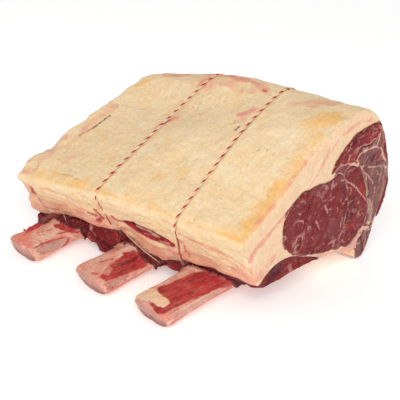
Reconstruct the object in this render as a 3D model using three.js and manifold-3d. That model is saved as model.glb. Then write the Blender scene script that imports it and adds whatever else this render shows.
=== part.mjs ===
// A raw beef rib joint, cut square at both ends: its muscles, the fat over and between them, three rib
// bones trimmed bare at their tips, and two loops of butcher's twine.
//
// Millimetres. Everything is shaped in the joint's own frame: X runs along the back bone to the larger
// cut face, Y runs along the ribs from their bare tips to the chine, Z points up through the fat cap.
// A section is a drawing in Y and Z at the larger cut face; place() carries it along the joint.
// The whole is then tipped to stand on its rib tips and the chine, as it does on a table.

import * as THREE from 'three';
import { mergeVertices } from 'three/addons/utils/BufferGeometryUtils.js';
import Module from 'manifold-3d';

const wasm = await Module();
wasm.setup();

// ---- Driving dimensions ----

const FACE_X = 80;              // the larger cut face
const LENGTH = 185;             // between the cut faces, along the rib side
const CHINE_SHORTER = 0.065;    // the chine side is this much shorter than the rib side
const END_HOLLOW = 0.022;       // and the middle of the smaller face is drawn in by this much more
const HOLLOW_Y = 50;
const HOLLOW_REACH = 32;
const SKEW = 0.275;             // the rib side runs out this far per millimetre towards the smaller face
const FOOT_Y = 88;              // the chine's foot in the section
const SHOULDER_Y = -37;         // the fat's top edge over the ribs
const BACK_Y = 113;             // the chine side
const REST_SLOPE = 0.115;       // fall of the table towards the chine, in the joint's frame

const FLATTEN = 0.17;           // loss of height at the smaller face
const SLUMP = 0.17;             // extra loss of height where the back sags most
const SLUMP_ALONG = 128;
const SLUMP_REACH = 70;
const SLUMP_Y = 52;
const SLUMP_RIB_SIDE = 52;
const SLUMP_CHINE_SIDE = 20;
const LEAN_HANG = 8;            // how far the lean hangs down between the ribs
const LEAN_TUCK = 2.5;          // how much of that is lost towards the smaller face
const STRAGGLE = 6;             // a ragged end of lean hangs lower still beside the middle rib
const STRAGGLE_OUT = 9;         // and stands this far out from under the fat
const STRAGGLE_ALONG = 123;
const STRAGGLE_REACH = 17;

const GAP = 0.3;                // clearance between pieces that touch
const OVERSHOOT = 6;            // how far a cutting tool runs past the ends
const BODY_STEPS = 14;
const MUSCLE_STEPS = 8;

const RIB_THICK = 13;
const RIBS = [
  { name: 'rib_bone_1', x: -74, tip: -106, width: 32 },
  { name: 'rib_bone_2', x: -12, tip: -93, width: 34 },
  { name: 'rib_bone_3', x: 41.5, tip: -84.5, width: 35 },
];
const RIB_END = 79;             // where a rib stops short of the chine's foot, in the section

const TWINE_RADIUS = 0.8;
const TWINE_SHOULDER = 75;
const TWINE_STEPS = 50;
// Drift towards the smaller face: slant per millimetre of Y, lean per millimetre below the shoulder.
const TWINES = [
  { name: 'twine_1', x: -35.5, slant: 0.02, lean: -0.08 },
  { name: 'twine_2', x: 29, slant: 0.075, lean: 0.1 },
];
const KNOT_RADIUS = 2.4;
const KNOT_HEIGHT = 70;

// The lower edge of the fat sags or lifts at these places along the joint.
const FAT_DIPS = [
  { x: -101, depth: 8, width: 14 },
  { x: -70, depth: -4, width: 17 },
  { x: -22, depth: -4, width: 14 },
  { x: 4, depth: 9, width: 13 },
];

// ---- Colours and finish ----

const FINISH = {
  fat: { color: 0xf0d9ac, roughness: 0.55 },
  lean: { color: 0x8e2f33, roughness: 0.4 },
  sinew: { color: 0x927070, roughness: 0.45 },
  bone: { color: 0xd9b49a, roughness: 0.5 },
  twine: { color: 0xe9d5cf, roughness: 0.9 },
};

const material = ({ color, roughness }) => new THREE.MeshStandardMaterial({ color, roughness, metalness: 0 });

// ---- Placing a section along the joint ----

const { clamp, lerp, smoothstep } = THREE.MathUtils;
const bell = (value, middle, width) => Math.exp(-(((value - middle) / width) ** 2));

const restHeight = (y) => REST_SLOPE * (FOOT_Y - y);
const taper = (y) => CHINE_SHORTER * clamp((y - SHOULDER_Y) / (BACK_Y - SHOULDER_Y), 0, 1);
const shortening = (y) => 1 - taper(y) - END_HOLLOW * bell(y, HOLLOW_Y, HOLLOW_REACH);

function heightFactor(along, y) {
  const across = bell(y, SLUMP_Y, y < SLUMP_Y ? SLUMP_RIB_SIDE : SLUMP_CHINE_SIDE);
  return 1 - FLATTEN * smoothstep(along, 90, 190) - SLUMP * bell(along, SLUMP_ALONG, SLUMP_REACH) * across;
}

function hang(along, y, z) {
  const even = LEAN_HANG * smoothstep(along, 0, 45) - LEAN_TUCK * smoothstep(along, 60, LENGTH);
  const ragged = STRAGGLE * bell(along, STRAGGLE_ALONG, STRAGGLE_REACH) * (1 - smoothstep(y, -5, 15));
  return (even + ragged) * (1 - smoothstep(z, 27.5, 29.4)) * (1 - smoothstep(y, 60, 80));
}

function straggleOut(along, y, z) {
  const lowFront = (1 - smoothstep(z, 27.5, 31.5)) * (1 - smoothstep(y, -10, 5));
  return STRAGGLE_OUT * bell(along, STRAGGLE_ALONG, STRAGGLE_REACH) * lowFront;
}

function fatDip(x, y, z) {
  const nearEdge = (1 - smoothstep(y, -12, 4)) * bell(z, 34.5, 14);
  return nearEdge * FAT_DIPS.reduce((sum, dip) => sum + dip.depth * bell(x, dip.x, dip.width), 0);
}

// along: millimetres from the larger cut face; y, z: a point of the section.
function place(along, y, z) {
  const x = FACE_X - along * shortening(y);
  const rest = restHeight(y);
  const height = rest + (z - rest) * heightFactor(along, y);
  const outward = SKEW * (FACE_X - x) + straggleOut(along, y, z);
  return new THREE.Vector3(x, y - outward, height - hang(along, y, z) - fatDip(x, y, z));
}

// ---- Closed skins and solids ----

// Rings of the same outline, one after another, joined and capped. Each ring runs anticlockwise seen
// from the last one.
function skin(rings, outline) {
  const count = outline.length;
  const positions = rings.flatMap((ring) => ring.flatMap((point) => point.toArray()));
  const index = [];
  for (let r = 0; r + 1 < rings.length; r += 1) {
    for (let i = 0; i < count; i += 1) {
      const next = (i + 1) % count;
      const [a, b, c, d] = [r * count + i, r * count + next, (r + 1) * count + next, (r + 1) * count + i];
      index.push(a, b, c, a, c, d);
    }
  }
  const last = (rings.length - 1) * count;
  for (const [a, b, c] of THREE.ShapeUtils.triangulateShape(outline, [])) {
    index.push(last + a, last + b, last + c, a, c, b);
  }
  const geometry = new THREE.BufferGeometry();
  geometry.setAttribute('position', new THREE.Float32BufferAttribute(positions, 3));
  geometry.setIndex(index);
  return geometry;
}

function solid(geometry) {
  const bare = geometry.clone();
  bare.deleteAttribute('normal');
  bare.deleteAttribute('uv');
  const merged = mergeVertices(bare, 1e-4);
  return new wasm.Manifold(new wasm.Mesh({
    numProp: 3,
    vertProperties: new Float32Array(merged.attributes.position.array),
    triVerts: new Uint32Array(merged.index.array),
  }));
}

function largest(body) {
  return body.decompose().reduce((best, piece) => (piece.volume() > best.volume() ? piece : best));
}

function geometryOf(body) {
  const { vertProperties, triVerts } = body.getMesh();
  const geometry = new THREE.BufferGeometry();
  geometry.setAttribute('position', new THREE.BufferAttribute(new Float32Array(vertProperties), 3));
  geometry.setIndex(new THREE.BufferAttribute(new Uint32Array(triVerts), 1));
  geometry.computeVertexNormals();
  return geometry;
}

// A smooth closed outline through hand-placed corners, anticlockwise.
function roundOutline(corners, count) {
  const curve = new THREE.CatmullRomCurve3(corners.map(([y, z]) => new THREE.Vector3(y, z, 0)), true);
  const outline = curve.getSpacedPoints(count).slice(0, count).map((p) => new THREE.Vector2(p.x, p.y));
  return THREE.ShapeUtils.isClockWise(outline) ? outline.reverse() : outline;
}

// The same outline pushed outwards all round, mitred at its corners.
function grow(outline, distance) {
  return outline.map((point, i) => {
    const before = point.clone().sub(outline.at(i - 1)).normalize();
    const after = outline[(i + 1) % outline.length].clone().sub(point).normalize();
    const reach = distance / (1 + before.dot(after));
    const both = before.add(after);
    return new THREE.Vector2(point.x + both.y * reach, point.y - both.x * reach);
  });
}

// Distances from the larger cut face, from the smaller face to the larger one.
const stations = (steps) => Array.from({ length: steps + 1 }, (_, i) => LENGTH * (1 - i / steps));

// The solid that a section sweeps through these distances.
function sweep(outline, distances) {
  const rings = distances.map((along) => outline.map((point) => place(along, point.x, point.y)));
  return solid(skin(rings, outline));
}

const through = (outline) => sweep(outline, [LENGTH + OVERSHOOT, ...stations(MUSCLE_STEPS), -OVERSHOOT]);

// ---- Sections at the larger cut face ----

// The whole joint without its ribs: undercut fat face, sloping cap, upright chine side, hollow belly.
function jointOutline() {
  const at = ([y, z]) => new THREE.Vector2(y, z);
  const shape = new THREE.Shape();
  shape.moveTo(-20, 31.5);
  shape.lineTo(-16, 28.2);
  shape.splineThru([[-5, 27.3], [10, 26.8], [26, 26.8], [46, 23], [60, 18.5], [71, 13.5], [79, 6]].map(at));
  shape.lineTo(84, restHeight(84));
  shape.lineTo(92, restHeight(92));
  shape.splineThru([[95.3, 7], [98.8, 15], [103.5, 27], [111, 40], [115, 53], [113, 72], [106, 96],
    [101, 110], [95, 120.5]].map(at));
  shape.splineThru([[86, 129], [74, 133], [61, 132.5], [46, 129.5], [31, 120.5], [14, 109.5], [-1, 97],
    [-20, 86.5], [-33, 78.5]].map(at));
  shape.lineTo(-36.5, 74);
  shape.lineTo(-30, 55);
  shape.lineTo(-23, 35);
  return shape.getPoints(1);
}

const EYE = [[3, 58], [9, 49.5], [20, 42], [34, 35.2], [47, 30.3], [57, 29.5], [62, 33.5], [65, 44],
  [67.5, 56], [67, 68], [62.5, 79], [59.5, 86.5], [57, 91.5], [52.5, 91.5], [48, 88.5], [38, 90], [27, 89.5], [14, 86], [5, 82.5],
  [2, 76], [1.5, 66]];
const INNER = [[61.3, 89.3], [67, 92], [73, 89], [79, 79.8], [84.8, 69.5], [89, 56], [91.7, 43], [90, 34],
  [84, 27.5], [75.5, 22.5], [67.5, 23.5], [64.8, 31], [67.5, 43], [69.5, 56], [69, 69], [64, 80]];
const CAP = [[47, 93.8], [48.7, 98], [56, 103], [63, 107.5], [72, 113], [80.5, 115.5], [89, 116.5],
  [95.5, 114], [97, 107], [92, 100.5], [82, 101.3], [75, 98], [71.5, 95.5], [66, 96.5], [58, 97], [52, 95]];
const STRAP = [[76.5, 95], [82, 98.8], [91, 97.5], [99.5, 91.3], [102.3, 86], [96, 82.5], [87, 85],
  [79.5, 88.5]];
const BAND = [[80.5, 84], [87, 82.2], [95, 80], [102, 79], [107.5, 71], [108, 60], [106, 47.5], [102, 36],
  [98.5, 27], [96, 29.5], [95, 41], [92, 55.5], [87.5, 70]];

// These three reach the joint's outside, so their outer stretches run past it and are cut back to it.
const BACK = [[98.5, 112], [101.5, 103], [103, 94], [105.5, 85], [111, 72], [111.7, 60], [109.5, 48],
  [105.5, 37], [102.5, 27], [109, 25], [119, 45], [121, 60], [116, 85], [108, 108], [101, 117]];
const FOOT = [[84.6, 2.4], [83, 8], [84.5, 15], [89, 20.5], [95, 22.3], [101, 22.4], [106, 18], [100, 2],
  [94, -5], [87, -5]];
const RIB_LEAN = [[-20.3, 33], [-11, 41.5], [0, 44], [9, 43], [18, 38.5], [28, 33], [37, 27.8], [46, 20],
  [46, 5], [10, -2], [-16, 2], [-26, 12], [-27, 25]];

// ---- Pieces ----

// A rib's depth below the joint: level out to its tip, bending down to the chine.
function ribBottom(y, tipHeight) {
  return tipHeight - 10.5 * smoothstep(y, -25, 100) - 6 * smoothstep(y, 30, 90);
}

// A flat oval slab with a flat underside and one upright side, x across and z up.
function ribOutline() {
  return roundOutline([[-0.5, 0.4], [-0.44, 0.12], [-0.3, 0], [0.3, 0], [0.46, 0.08], [0.5, 0.4],
    [0.46, 0.74], [0.3, 0.94], [0, 1], [-0.28, 0.94], [-0.45, 0.74]], 20);
}

// The growth is the clearance added all round for cutting the rib's bed.
function ribBone({ x, tip, width }, growth) {
  const outline = ribOutline();
  const along = FACE_X - x;
  const tipHeight = restHeight(tip + SKEW * (along - 0.3 * width));
  const rows = [0, 0.012, 0.07, 0.16, 0.28, 0.4, 0.52, 0.64, 0.76, 0.88, 1];
  const tipY = tip - growth;
  const endY = RIB_END - SKEW * along + growth;
  const rings = rows.map((row) => {
    const y = lerp(tipY, endY, row);
    const flare = 1 - 0.07 * (1 - smoothstep(row, 0, 0.012)) - 0.08 * bell(row, 0.2, 0.12);
    const slim = 1 - 0.3 * smoothstep(row, 0.75, 1);
    const bottom = ribBottom(y + SKEW * along, tipHeight) - growth;
    const wide = width * flare + 2 * growth;
    const thick = RIB_THICK * Math.min(flare, slim) + 2 * growth;
    return outline.map((p) => new THREE.Vector3(x + p.x * wide, y, bottom + p.y * thick)).reverse();
  });
  return solid(skin(rings, outline.map((p) => new THREE.Vector2(-p.x, p.y)).reverse()));
}

// The lean that shows in a lens on the fat's upright side.
function sideLean(growth) {
  const lens = new THREE.SphereGeometry(1, 22, 12);
  lens.rotateX(Math.PI / 2);
  lens.scale(23 + growth, 9 + growth, 4.7 + growth);
  lens.rotateY(THREE.MathUtils.degToRad(9));
  lens.rotateZ(Math.atan(SKEW));
  lens.translate(4, -52.1, 50.6);
  return solid(lens);
}

// Convex hull of points in the Y, Z plane, anticlockwise.
function hull(points) {
  const sorted = [...points].sort((a, b) => a.x - b.x || a.y - b.y);
  const turn = (a, b, c) => (b.x - a.x) * (c.y - a.y) - (b.y - a.y) * (c.x - a.x);
  const half = (list) => {
    const chain = [];
    for (const point of list) {
      while (chain.length > 1 && turn(chain.at(-2), chain.at(-1), point) <= 0) chain.pop();
      chain.push(point);
    }
    return chain.slice(0, -1);
  };
  return [...half(sorted), ...half(sorted.reverse())];
}

// The same closed outline with a point added halfway along each stretch, so that a curve stays on it.
function halved(points) {
  return points.flatMap((point, i) => [points.at(i - 1).clone().lerp(point, 0.5), point]);
}

// A taut loop: the hull of the section where the twine goes round, from its knot on the chine side
// over the cap, down the fat face, under the ribs' bed and back. It passes above the table at the foot.
function twineRoute(outline, { x, slant, lean }) {
  const offSkin = TWINE_RADIUS + 3 * GAP;
  const overTable = offSkin + TWINE_RADIUS + GAP;
  const section = outline.map((point) => {
    const { y, z } = place((FACE_X - x) / shortening(point.x), point.x, point.y);
    return new THREE.Vector2(y, Math.max(z, restHeight(point.x) + overTable));
  });
  const taut = halved(grow(hull(section), offSkin));
  const loop = new THREE.CatmullRomCurve3(taut.map((p) => new THREE.Vector3(p.x, p.y, 0)), true);
  const points = loop.getSpacedPoints(TWINE_STEPS).slice(1);
  const knotAt = points.findIndex((p, i) => p.y < KNOT_HEIGHT !== points.at(i - 1).y < KNOT_HEIGHT && p.x > 0);
  return [...points.slice(knotAt), ...points.slice(0, knotAt + 1)].map((p) => {
    const sectionY = p.x + SKEW * (FACE_X - x);
    const drift = lean * Math.max(0, TWINE_SHOULDER - p.y) + slant * (sectionY - SHOULDER_Y);
    const z = Math.max(p.y, restHeight(sectionY) + overTable - offSkin);
    return new THREE.Vector3(x - drift, p.x - SKEW * drift, z);
  });
}

function cord(route, radius, steps) {
  const disc = new THREE.Shape();
  disc.absarc(0, 0, radius, 0, 2 * Math.PI);
  return solid(new THREE.ExtrudeGeometry(new THREE.Shape(disc.getSpacedPoints(6).slice(0, 6)), {
    steps, bevelEnabled: false, extrudePath: new THREE.CatmullRomCurve3(route),
  }));
}

// The growth is the clearance added all round, for the bed that it presses for itself at its turns.
function twine(route, growth) {
  const knot = new THREE.SphereGeometry(KNOT_RADIUS + growth, 10, 6);
  knot.scale(1, 0.7, 1.1);
  knot.translate(...route[0].toArray());
  return cord(route, TWINE_RADIUS + growth, TWINE_STEPS).add(solid(knot));
}

// ---- Assembly ----

const joint = jointOutline();
const whole = sweep(joint, stations(BODY_STEPS));
const ribs = RIBS.map((rib) => ({ ...rib, body: ribBone(rib, 0), bed: ribBone(rib, GAP) }));
const twines = TWINES.map((loop) => {
  const route = twineRoute(joint, loop);
  return { name: loop.name, body: twine(route, 0), bed: twine(route, GAP) };
});

// Ribs are bedded in whatever they cross, and the twine wherever it turns sharply.
const seated = (body) => [...ribs, ...twines].reduce((rest, { bed }) => rest.subtract(bed), body);

// A piece that runs through the joint from face to face, and the bed that it lies in.
function layer(name, corners, count) {
  const outline = roundOutline(corners, count);
  return { name, body: whole.intersect(through(outline)), bed: through(grow(outline, GAP)) };
}

const lean = [
  layer('eye_muscle', EYE, 30),
  layer('inner_muscle', INNER, 24),
  layer('cap_muscle', CAP, 24),
  layer('back_muscle', BACK, 22),
  layer('rib_lean', RIB_LEAN, 22),
  { name: 'side_lean', body: whole.intersect(sideLean(0)), bed: sideLean(GAP) },
];
const sinew = [
  layer('back_strap', STRAP, 14),
  layer('feather_band', BAND, 20),
  layer('chine_foot', FOOT, 18),
];
const fat = [...lean, ...sinew].reduce((rest, { bed }) => rest.subtract(bed), whole);

const roast = new THREE.Group();

function addNode(name, body, finish) {
  const mesh = new THREE.Mesh(geometryOf(largest(body)), material(finish));
  mesh.name = name;
  roast.add(mesh);
}

addNode('fat_cap', seated(fat), FINISH.fat);
lean.forEach(({ name, body }) => addNode(name, seated(body), FINISH.lean));
sinew.forEach(({ name, body }) => addNode(name, seated(body), FINISH.sinew));
ribs.forEach(({ name, body }) => addNode(name, body, FINISH.bone));
twines.forEach(({ name, body }) => addNode(name, body, FINISH.twine));

// ---- Standing on the table ----

// The table's plane falls towards the chine, so the joint is turned about the line of its foot.
const tableNormal = new THREE.Vector3(-REST_SLOPE * SKEW, REST_SLOPE, 1).normalize();
roast.quaternion.setFromUnitVectors(tableNormal, new THREE.Vector3(0, 0, 1));
roast.updateMatrixWorld(true);
const box = new THREE.Box3().setFromObject(roast, true);
const middle = box.getCenter(new THREE.Vector3());
roast.position.set(-middle.x, -middle.y, -box.min.z);

export default roast;
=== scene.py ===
"""A raw three-bone beef rib joint: the skin, grain, marbling, scraped bone and twine over its solids."""

import math

import bpy
import numpy as np
from mathutils import Matrix, Vector
from mathutils.bvhtree import BVHTree
from mathutils.geometry import delaunay_2d_cdt
from mathutils.kdtree import KDTree


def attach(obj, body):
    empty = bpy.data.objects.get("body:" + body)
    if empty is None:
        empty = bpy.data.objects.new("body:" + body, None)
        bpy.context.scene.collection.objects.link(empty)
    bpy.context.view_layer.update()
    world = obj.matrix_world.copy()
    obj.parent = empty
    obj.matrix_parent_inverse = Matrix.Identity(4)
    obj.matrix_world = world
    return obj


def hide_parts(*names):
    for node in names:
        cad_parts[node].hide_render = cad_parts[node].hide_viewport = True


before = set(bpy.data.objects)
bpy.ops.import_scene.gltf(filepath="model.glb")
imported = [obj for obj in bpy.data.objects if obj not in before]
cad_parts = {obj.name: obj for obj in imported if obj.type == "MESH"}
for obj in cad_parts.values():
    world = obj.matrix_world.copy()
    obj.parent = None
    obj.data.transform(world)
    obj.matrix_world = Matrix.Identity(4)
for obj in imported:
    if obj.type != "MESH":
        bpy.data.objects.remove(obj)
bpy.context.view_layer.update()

# ---- The joint's own frame: millimetres, X to the larger cut face, Y to the chine, Z up through the fat ----

SKEW = 0.275            # the rib side runs out this far per millimetre towards the smaller face
REST_SLOPE = 0.115      # fall of the table towards the chine
FACE_X = 80.0           # the larger cut face
JOINT_AT = Vector((9.47284, 0.55597, -7.45143))     # its origin in the row frame, in millimetres
JOINT_TURN = Vector((-REST_SLOPE * SKEW, REST_SLOPE, 1)).rotation_difference(Vector((0, 0, 1))).to_matrix()
TURN = np.array(JOINT_TURN)


def to_row(points):
    """Joint millimetres to metres in the row frame."""
    return (points @ TURN.T + np.array(JOINT_AT)) / 1000


def to_joint(points):
    """Metres in the row frame to joint millimetres."""
    return (points * 1000 - np.array(JOINT_AT)) @ TURN


def section_y(points):
    """Y as it is in the section at the larger face, so that a muscle keeps its place all along the joint."""
    return points[:, 1] + SKEW * (FACE_X - points[:, 0])


# ---- Camera ----

CAMERA_AZIMUTH = math.radians(47)
CAMERA_PITCH = math.radians(35)
CAMERA_DISTANCE = 740.9
CAMERA_TARGET = Vector((0, 0, 54))
IMAGE_SIDE = 400
FOCAL_PIXELS = 1029
SENSOR = 36


def add_camera():
    """The camera, set from its angles in the joint's own frame."""
    back = Vector((math.sin(CAMERA_AZIMUTH) * math.cos(CAMERA_PITCH),
                   -math.cos(CAMERA_AZIMUTH) * math.cos(CAMERA_PITCH), math.sin(CAMERA_PITCH)))
    right = Vector((math.cos(CAMERA_AZIMUTH), math.sin(CAMERA_AZIMUTH), 0))
    aim = Matrix((right, back.cross(right), back)).transposed()
    place = (JOINT_TURN @ (CAMERA_TARGET + back * CAMERA_DISTANCE) + JOINT_AT) / 1000
    data = bpy.data.cameras.new("camera")
    data.sensor_width = SENSOR
    data.lens = SENSOR * FOCAL_PIXELS / IMAGE_SIDE
    data.clip_start = 0.01
    camera = bpy.data.objects.new("camera", data)
    camera.matrix_world = Matrix.Translation(place) @ (JOINT_TURN @ aim).to_4x4()
    bpy.context.scene.collection.objects.link(camera)
    bpy.context.scene.camera = camera


add_camera()


# ---- Small tools ----

LATTICE = np.random.default_rng(11).uniform(-1, 1, 8192)


def ramp(low, high, value):
    """0 at low and before, 1 at high and past it, smooth between them."""
    t = np.clip((value - low) / (high - low), 0, 1)
    return t * t * (3 - 2 * t)


def bell(value, middle, width):
    return np.exp(-((value - middle) / width) ** 2)


def lumps(points, size, seed=0):
    """Smooth random values from -1 to 1, in lumps about size mm across. A place always has the same value."""
    at = points / size
    cell = np.floor(at).astype(np.int64)
    t = at - cell
    t = t * t * (3 - 2 * t)
    total = np.zeros(len(points))
    for corner in range(8):
        step = np.array([corner & 1, corner >> 1 & 1, corner >> 2 & 1])
        key = (cell + step) @ np.array([73856093, 19349663, 83492791]) + seed * 7919
        total += np.prod(np.where(step, t, 1 - t), axis=1) * LATTICE[(key ^ (key >> 13)) & 8191]
    return total


def stretches(pairs, at):
    """For each stretch from a to b: each point's offset from it, and which points are left of it."""
    for a, b in pairs:
        run = b - a
        off = at - a - np.clip((at - a) @ run / (run @ run), 0, 1)[:, None] * run
        level = (a[1] > at[:, 1]) != (b[1] > at[:, 1])
        yield off, level & (at[:, 0] < a[0] + run[0] * (at[:, 1] - a[1]) / (run[1] or 1))


def distance_to(line, at):
    """How far each point is from a line. A line back to its start is an area, less than 0 inside."""
    line = np.array(line, float)
    best, inside = np.linalg.norm(at - line[0], axis=1), np.zeros(len(at), bool)
    for off, left in stretches(zip(line, line[1:]), at):
        best = np.minimum(best, np.linalg.norm(off, axis=1))
        inside ^= left
    return np.where(inside, -best, best) if len(line) > 2 and (line[0] == line[-1]).all() else best


def strokes(at, points, marks, ragged=0.45, soft=None):
    """How strongly these marks (strength, width, line) cover each point, with uneven edges soft mm wide."""
    cover = np.zeros(len(at))
    for strength, width, line in marks:
        area = len(line) > 2 and line[0] == line[-1]
        reach, size = width / 2, 6 if area else max(width * 0.7, 1.6)
        uneven = lumps(points, size, 5) + 0.5 * lumps(points, max(size * 0.35, 0.9), 6)
        away = distance_to(line, at) + ragged * (2.5 if area else reach) * uneven
        inner, outer = reach * 0.5, reach * 1.35
        if soft:
            inner = max(reach - soft / 2, -soft if area else 0)
            outer = inner + soft
        cover = np.maximum(cover, strength * ramp(outer, inner, away))
    return cover


def unit(rows):
    """Vectors made 1 long."""
    return rows / np.maximum(np.linalg.norm(rows, axis=-1, keepdims=True), 1e-9)


def add_up(numbers, rows, count):
    """The sum of the rows that share a number, for each number below count."""
    return np.stack([np.bincount(numbers, column, count) for column in rows.T], 1)


def lengths_along(line):
    """The length of a line up to each of its corners."""
    return np.concatenate([[0], np.cumsum(np.linalg.norm(np.diff(line, axis=0), axis=1))])


def eased(ring, rounds):
    """A closed row of values, each moved halfway to the mean of its neighbours, so many times."""
    for _ in range(rounds):
        ring = ring * 0.5 + (np.roll(ring, 1, 0) + np.roll(ring, -1, 0)) * 0.25
    return ring


def joined(parts):
    """Several (points, faces) as one."""
    starts = np.cumsum([0] + [len(points) for points, _ in parts])
    return np.vstack([points for points, _ in parts]), np.vstack([f + k for (_, f), k in zip(parts, starts)])


def search_tree(parts):
    """What finds the nearest place on several (points, faces)."""
    return BVHTree.FromPolygons(*(rows.tolist() for rows in joined(parts)))


# ---- Skins: a node's own faces, made fine, softened and given relief ----

def merged_copy(node):
    """The node's corners, in the joint's frame, and its triangles, with its loose triangles joined up."""
    bpy.ops.object.select_all(action="DESELECT")
    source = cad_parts[node]
    piece = bpy.data.objects.new("copy", source.data.copy())
    bpy.context.scene.collection.objects.link(piece)
    bpy.context.view_layer.objects.active = piece
    piece.select_set(True)
    bpy.ops.object.mode_set(mode="EDIT")
    bpy.ops.mesh.select_all(action="SELECT")
    bpy.ops.mesh.remove_doubles(threshold=2e-6)
    bpy.ops.mesh.quads_convert_to_tris()
    bpy.ops.object.mode_set(mode="OBJECT")
    mesh = piece.data
    points = np.empty(len(mesh.vertices) * 3)
    mesh.vertices.foreach_get("co", points)
    faces = np.array([p.vertices[:] for p in mesh.polygons])
    bpy.data.objects.remove(piece)
    return to_joint(points.reshape(-1, 3)), faces


SOLIDS = {name: merged_copy(name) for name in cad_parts}
PIECES = [name for name in SOLIDS if not name.startswith("twine")]
TOUCHING = 0.65         # faces nearer than this to another piece are pressed against it
SMALL_END_X = -88       # the smaller face lies past this
FACE_SPACING = 0.58     # between points on the larger cut face


def face_normals(points, faces):
    a, b, c = (points[faces[:, k]] for k in range(3))
    return np.cross(b - a, c - a)


def pressed(name, points, faces):
    """Which faces lie against another piece, out of sight."""
    tree = search_tree([SOLIDS[other] for other in PIECES if other != name])
    corners = points[faces]
    middle = corners.mean(axis=1)
    at_end = (middle[:, 0] > FACE_X - 1) | (middle[:, 0] < SMALL_END_X)
    end = (np.abs(unit(face_normals(points, faces))[:, 0]) > 0.7) & at_end
    samples = np.stack([middle] + [middle * 0.25 + corners[:, k] * 0.75 for k in range(3)], axis=1)
    near = [all(tree.find_nearest(Vector(s), TOUCHING)[0] is not None for s in face) for face in samples]
    return np.array(near) & ~end


def edge_table(faces):
    """Each edge once, and which edge each face side is."""
    sides = np.sort(faces[:, [0, 1, 1, 2, 2, 0]].reshape(-1, 2), axis=1)
    key = sides[:, 0] * (faces.max() + 1) + sides[:, 1]
    _, first, back = np.unique(key, return_index=True, return_inverse=True)
    return sides[first], back


def in_flat_face(points, faces):
    """Which faces lie in the flat face at the larger end."""
    return (points[faces][:, :, 0] > FACE_X - 0.02).all(axis=1)


def fill_flat(points, faces, hidden):
    """Fills the flat face at the larger end afresh with even triangles, up to its own rim."""
    flat = in_flat_face(points, faces)
    if not flat.any():
        return points, faces, hidden
    edges, back = edge_table(faces[flat])
    rim = edges[np.bincount(back) == 1]
    at = points[:, 1:]
    (left, low), (right, high) = at[rim.ravel()].min(axis=0), at[rim.ravel()].max(axis=0)
    rows = np.arange(low, high, FACE_SPACING * math.sin(math.radians(60)))
    grid = np.array([(y, row) for k, row in enumerate(rows)
                     for y in np.arange(left + k % 2 * FACE_SPACING / 2, right, FACE_SPACING)])

    def beside_rim(where):
        away, inside = np.full(len(where), np.inf), np.zeros(len(where), bool)
        for off, left_of in stretches(at[rim], where):
            away = np.minimum(away, np.abs(off).sum(axis=1))
            inside ^= left_of
        return away, inside

    away, inside = beside_rim(grid)
    grid = grid[inside & (away > 0.5 * FACE_SPACING)]
    used, sides = np.unique(rim, return_inverse=True)
    corners = np.vstack([at[used], grid])
    sides = sides.reshape(-1, 2).tolist()
    _, _, found, origin, _, _ = delaunay_2d_cdt([Vector(c) for c in corners], sides, [], 0, 1e-7)
    found = np.array([each[0] if each else -1 for each in origin])[np.array(found)]
    # Triangles between three points of the rim may lie outside it.
    good = ~(found < len(used)).all(axis=1)
    good[~good] = beside_rim(corners[found[~good]].mean(axis=1))[1]
    new = np.concatenate([used, len(points) + np.arange(len(grid))])[found[good]]
    points = np.vstack([points, np.column_stack([np.full(len(grid), FACE_X), grid])])
    return points, np.vstack([faces[~flat], new]), np.concatenate([hidden[~flat], np.zeros(len(new), bool)])


def make_fine(points, faces, hidden, size):
    """Halves the edges of each face until none is longer than size(middle of the edge, face is hidden)."""
    for _ in range(12):
        edges, back = edge_table(faces)
        middles = points[edges].mean(axis=1)
        length = np.linalg.norm(points[edges[:, 0]] - points[edges[:, 1]], axis=1)
        within = np.bincount(back, np.repeat(in_flat_face(points, faces), 3), len(edges)) > 1
        wanted = np.where(within[back], np.inf, size(middles[back], np.repeat(hidden, 3)))
        split = np.zeros(len(edges), bool)
        split[back[length[back] > wanted]] = True
        if not split.any():
            break
        number = np.full(len(edges), -1)
        number[split] = len(points) + np.arange(split.sum())
        points = np.vstack([points, middles[split]])
        halves = number[back].reshape(-1, 3)
        count = (halves >= 0).sum(axis=1)
        new_faces, new_hidden = [faces[count == 0]], [hidden[count == 0]]
        for cuts in (1, 2, 3):
            some = count == cuts
            f, h, hid = faces[some], halves[some], hidden[some]
            # Turn each face so that its first side is cut, and with two cuts its last side is whole.
            turn = np.argmax(h >= 0, axis=1) if cuts == 1 else (np.argmin(h, axis=1) + 1) % 3
            order = (turn[:, None] + np.arange(3)) % 3
            (a, b, c), (ab, bc, ca) = np.take_along_axis(f, order, 1).T, np.take_along_axis(h, order, 1).T
            parts = {1: [(a, ab, c), (ab, b, c)],
                     2: [(ab, b, bc), (a, ab, bc), (a, bc, c)],
                     3: [(a, ab, ca), (ab, b, bc), (ca, bc, c), (ab, bc, ca)]}[cuts]
            new_faces += [np.stack(part, axis=1) for part in parts]
            new_hidden += [hid] * len(parts)
        faces, hidden = np.vstack(new_faces), np.concatenate(new_hidden)
    return fill_flat(points, faces, hidden)


def point_normals(points, faces):
    return unit(add_up(faces.ravel(), np.repeat(face_normals(points, faces), 3, axis=0), len(points)))


RIM_REACH = 9.0         # how far from a rim the distance to it is followed


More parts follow.
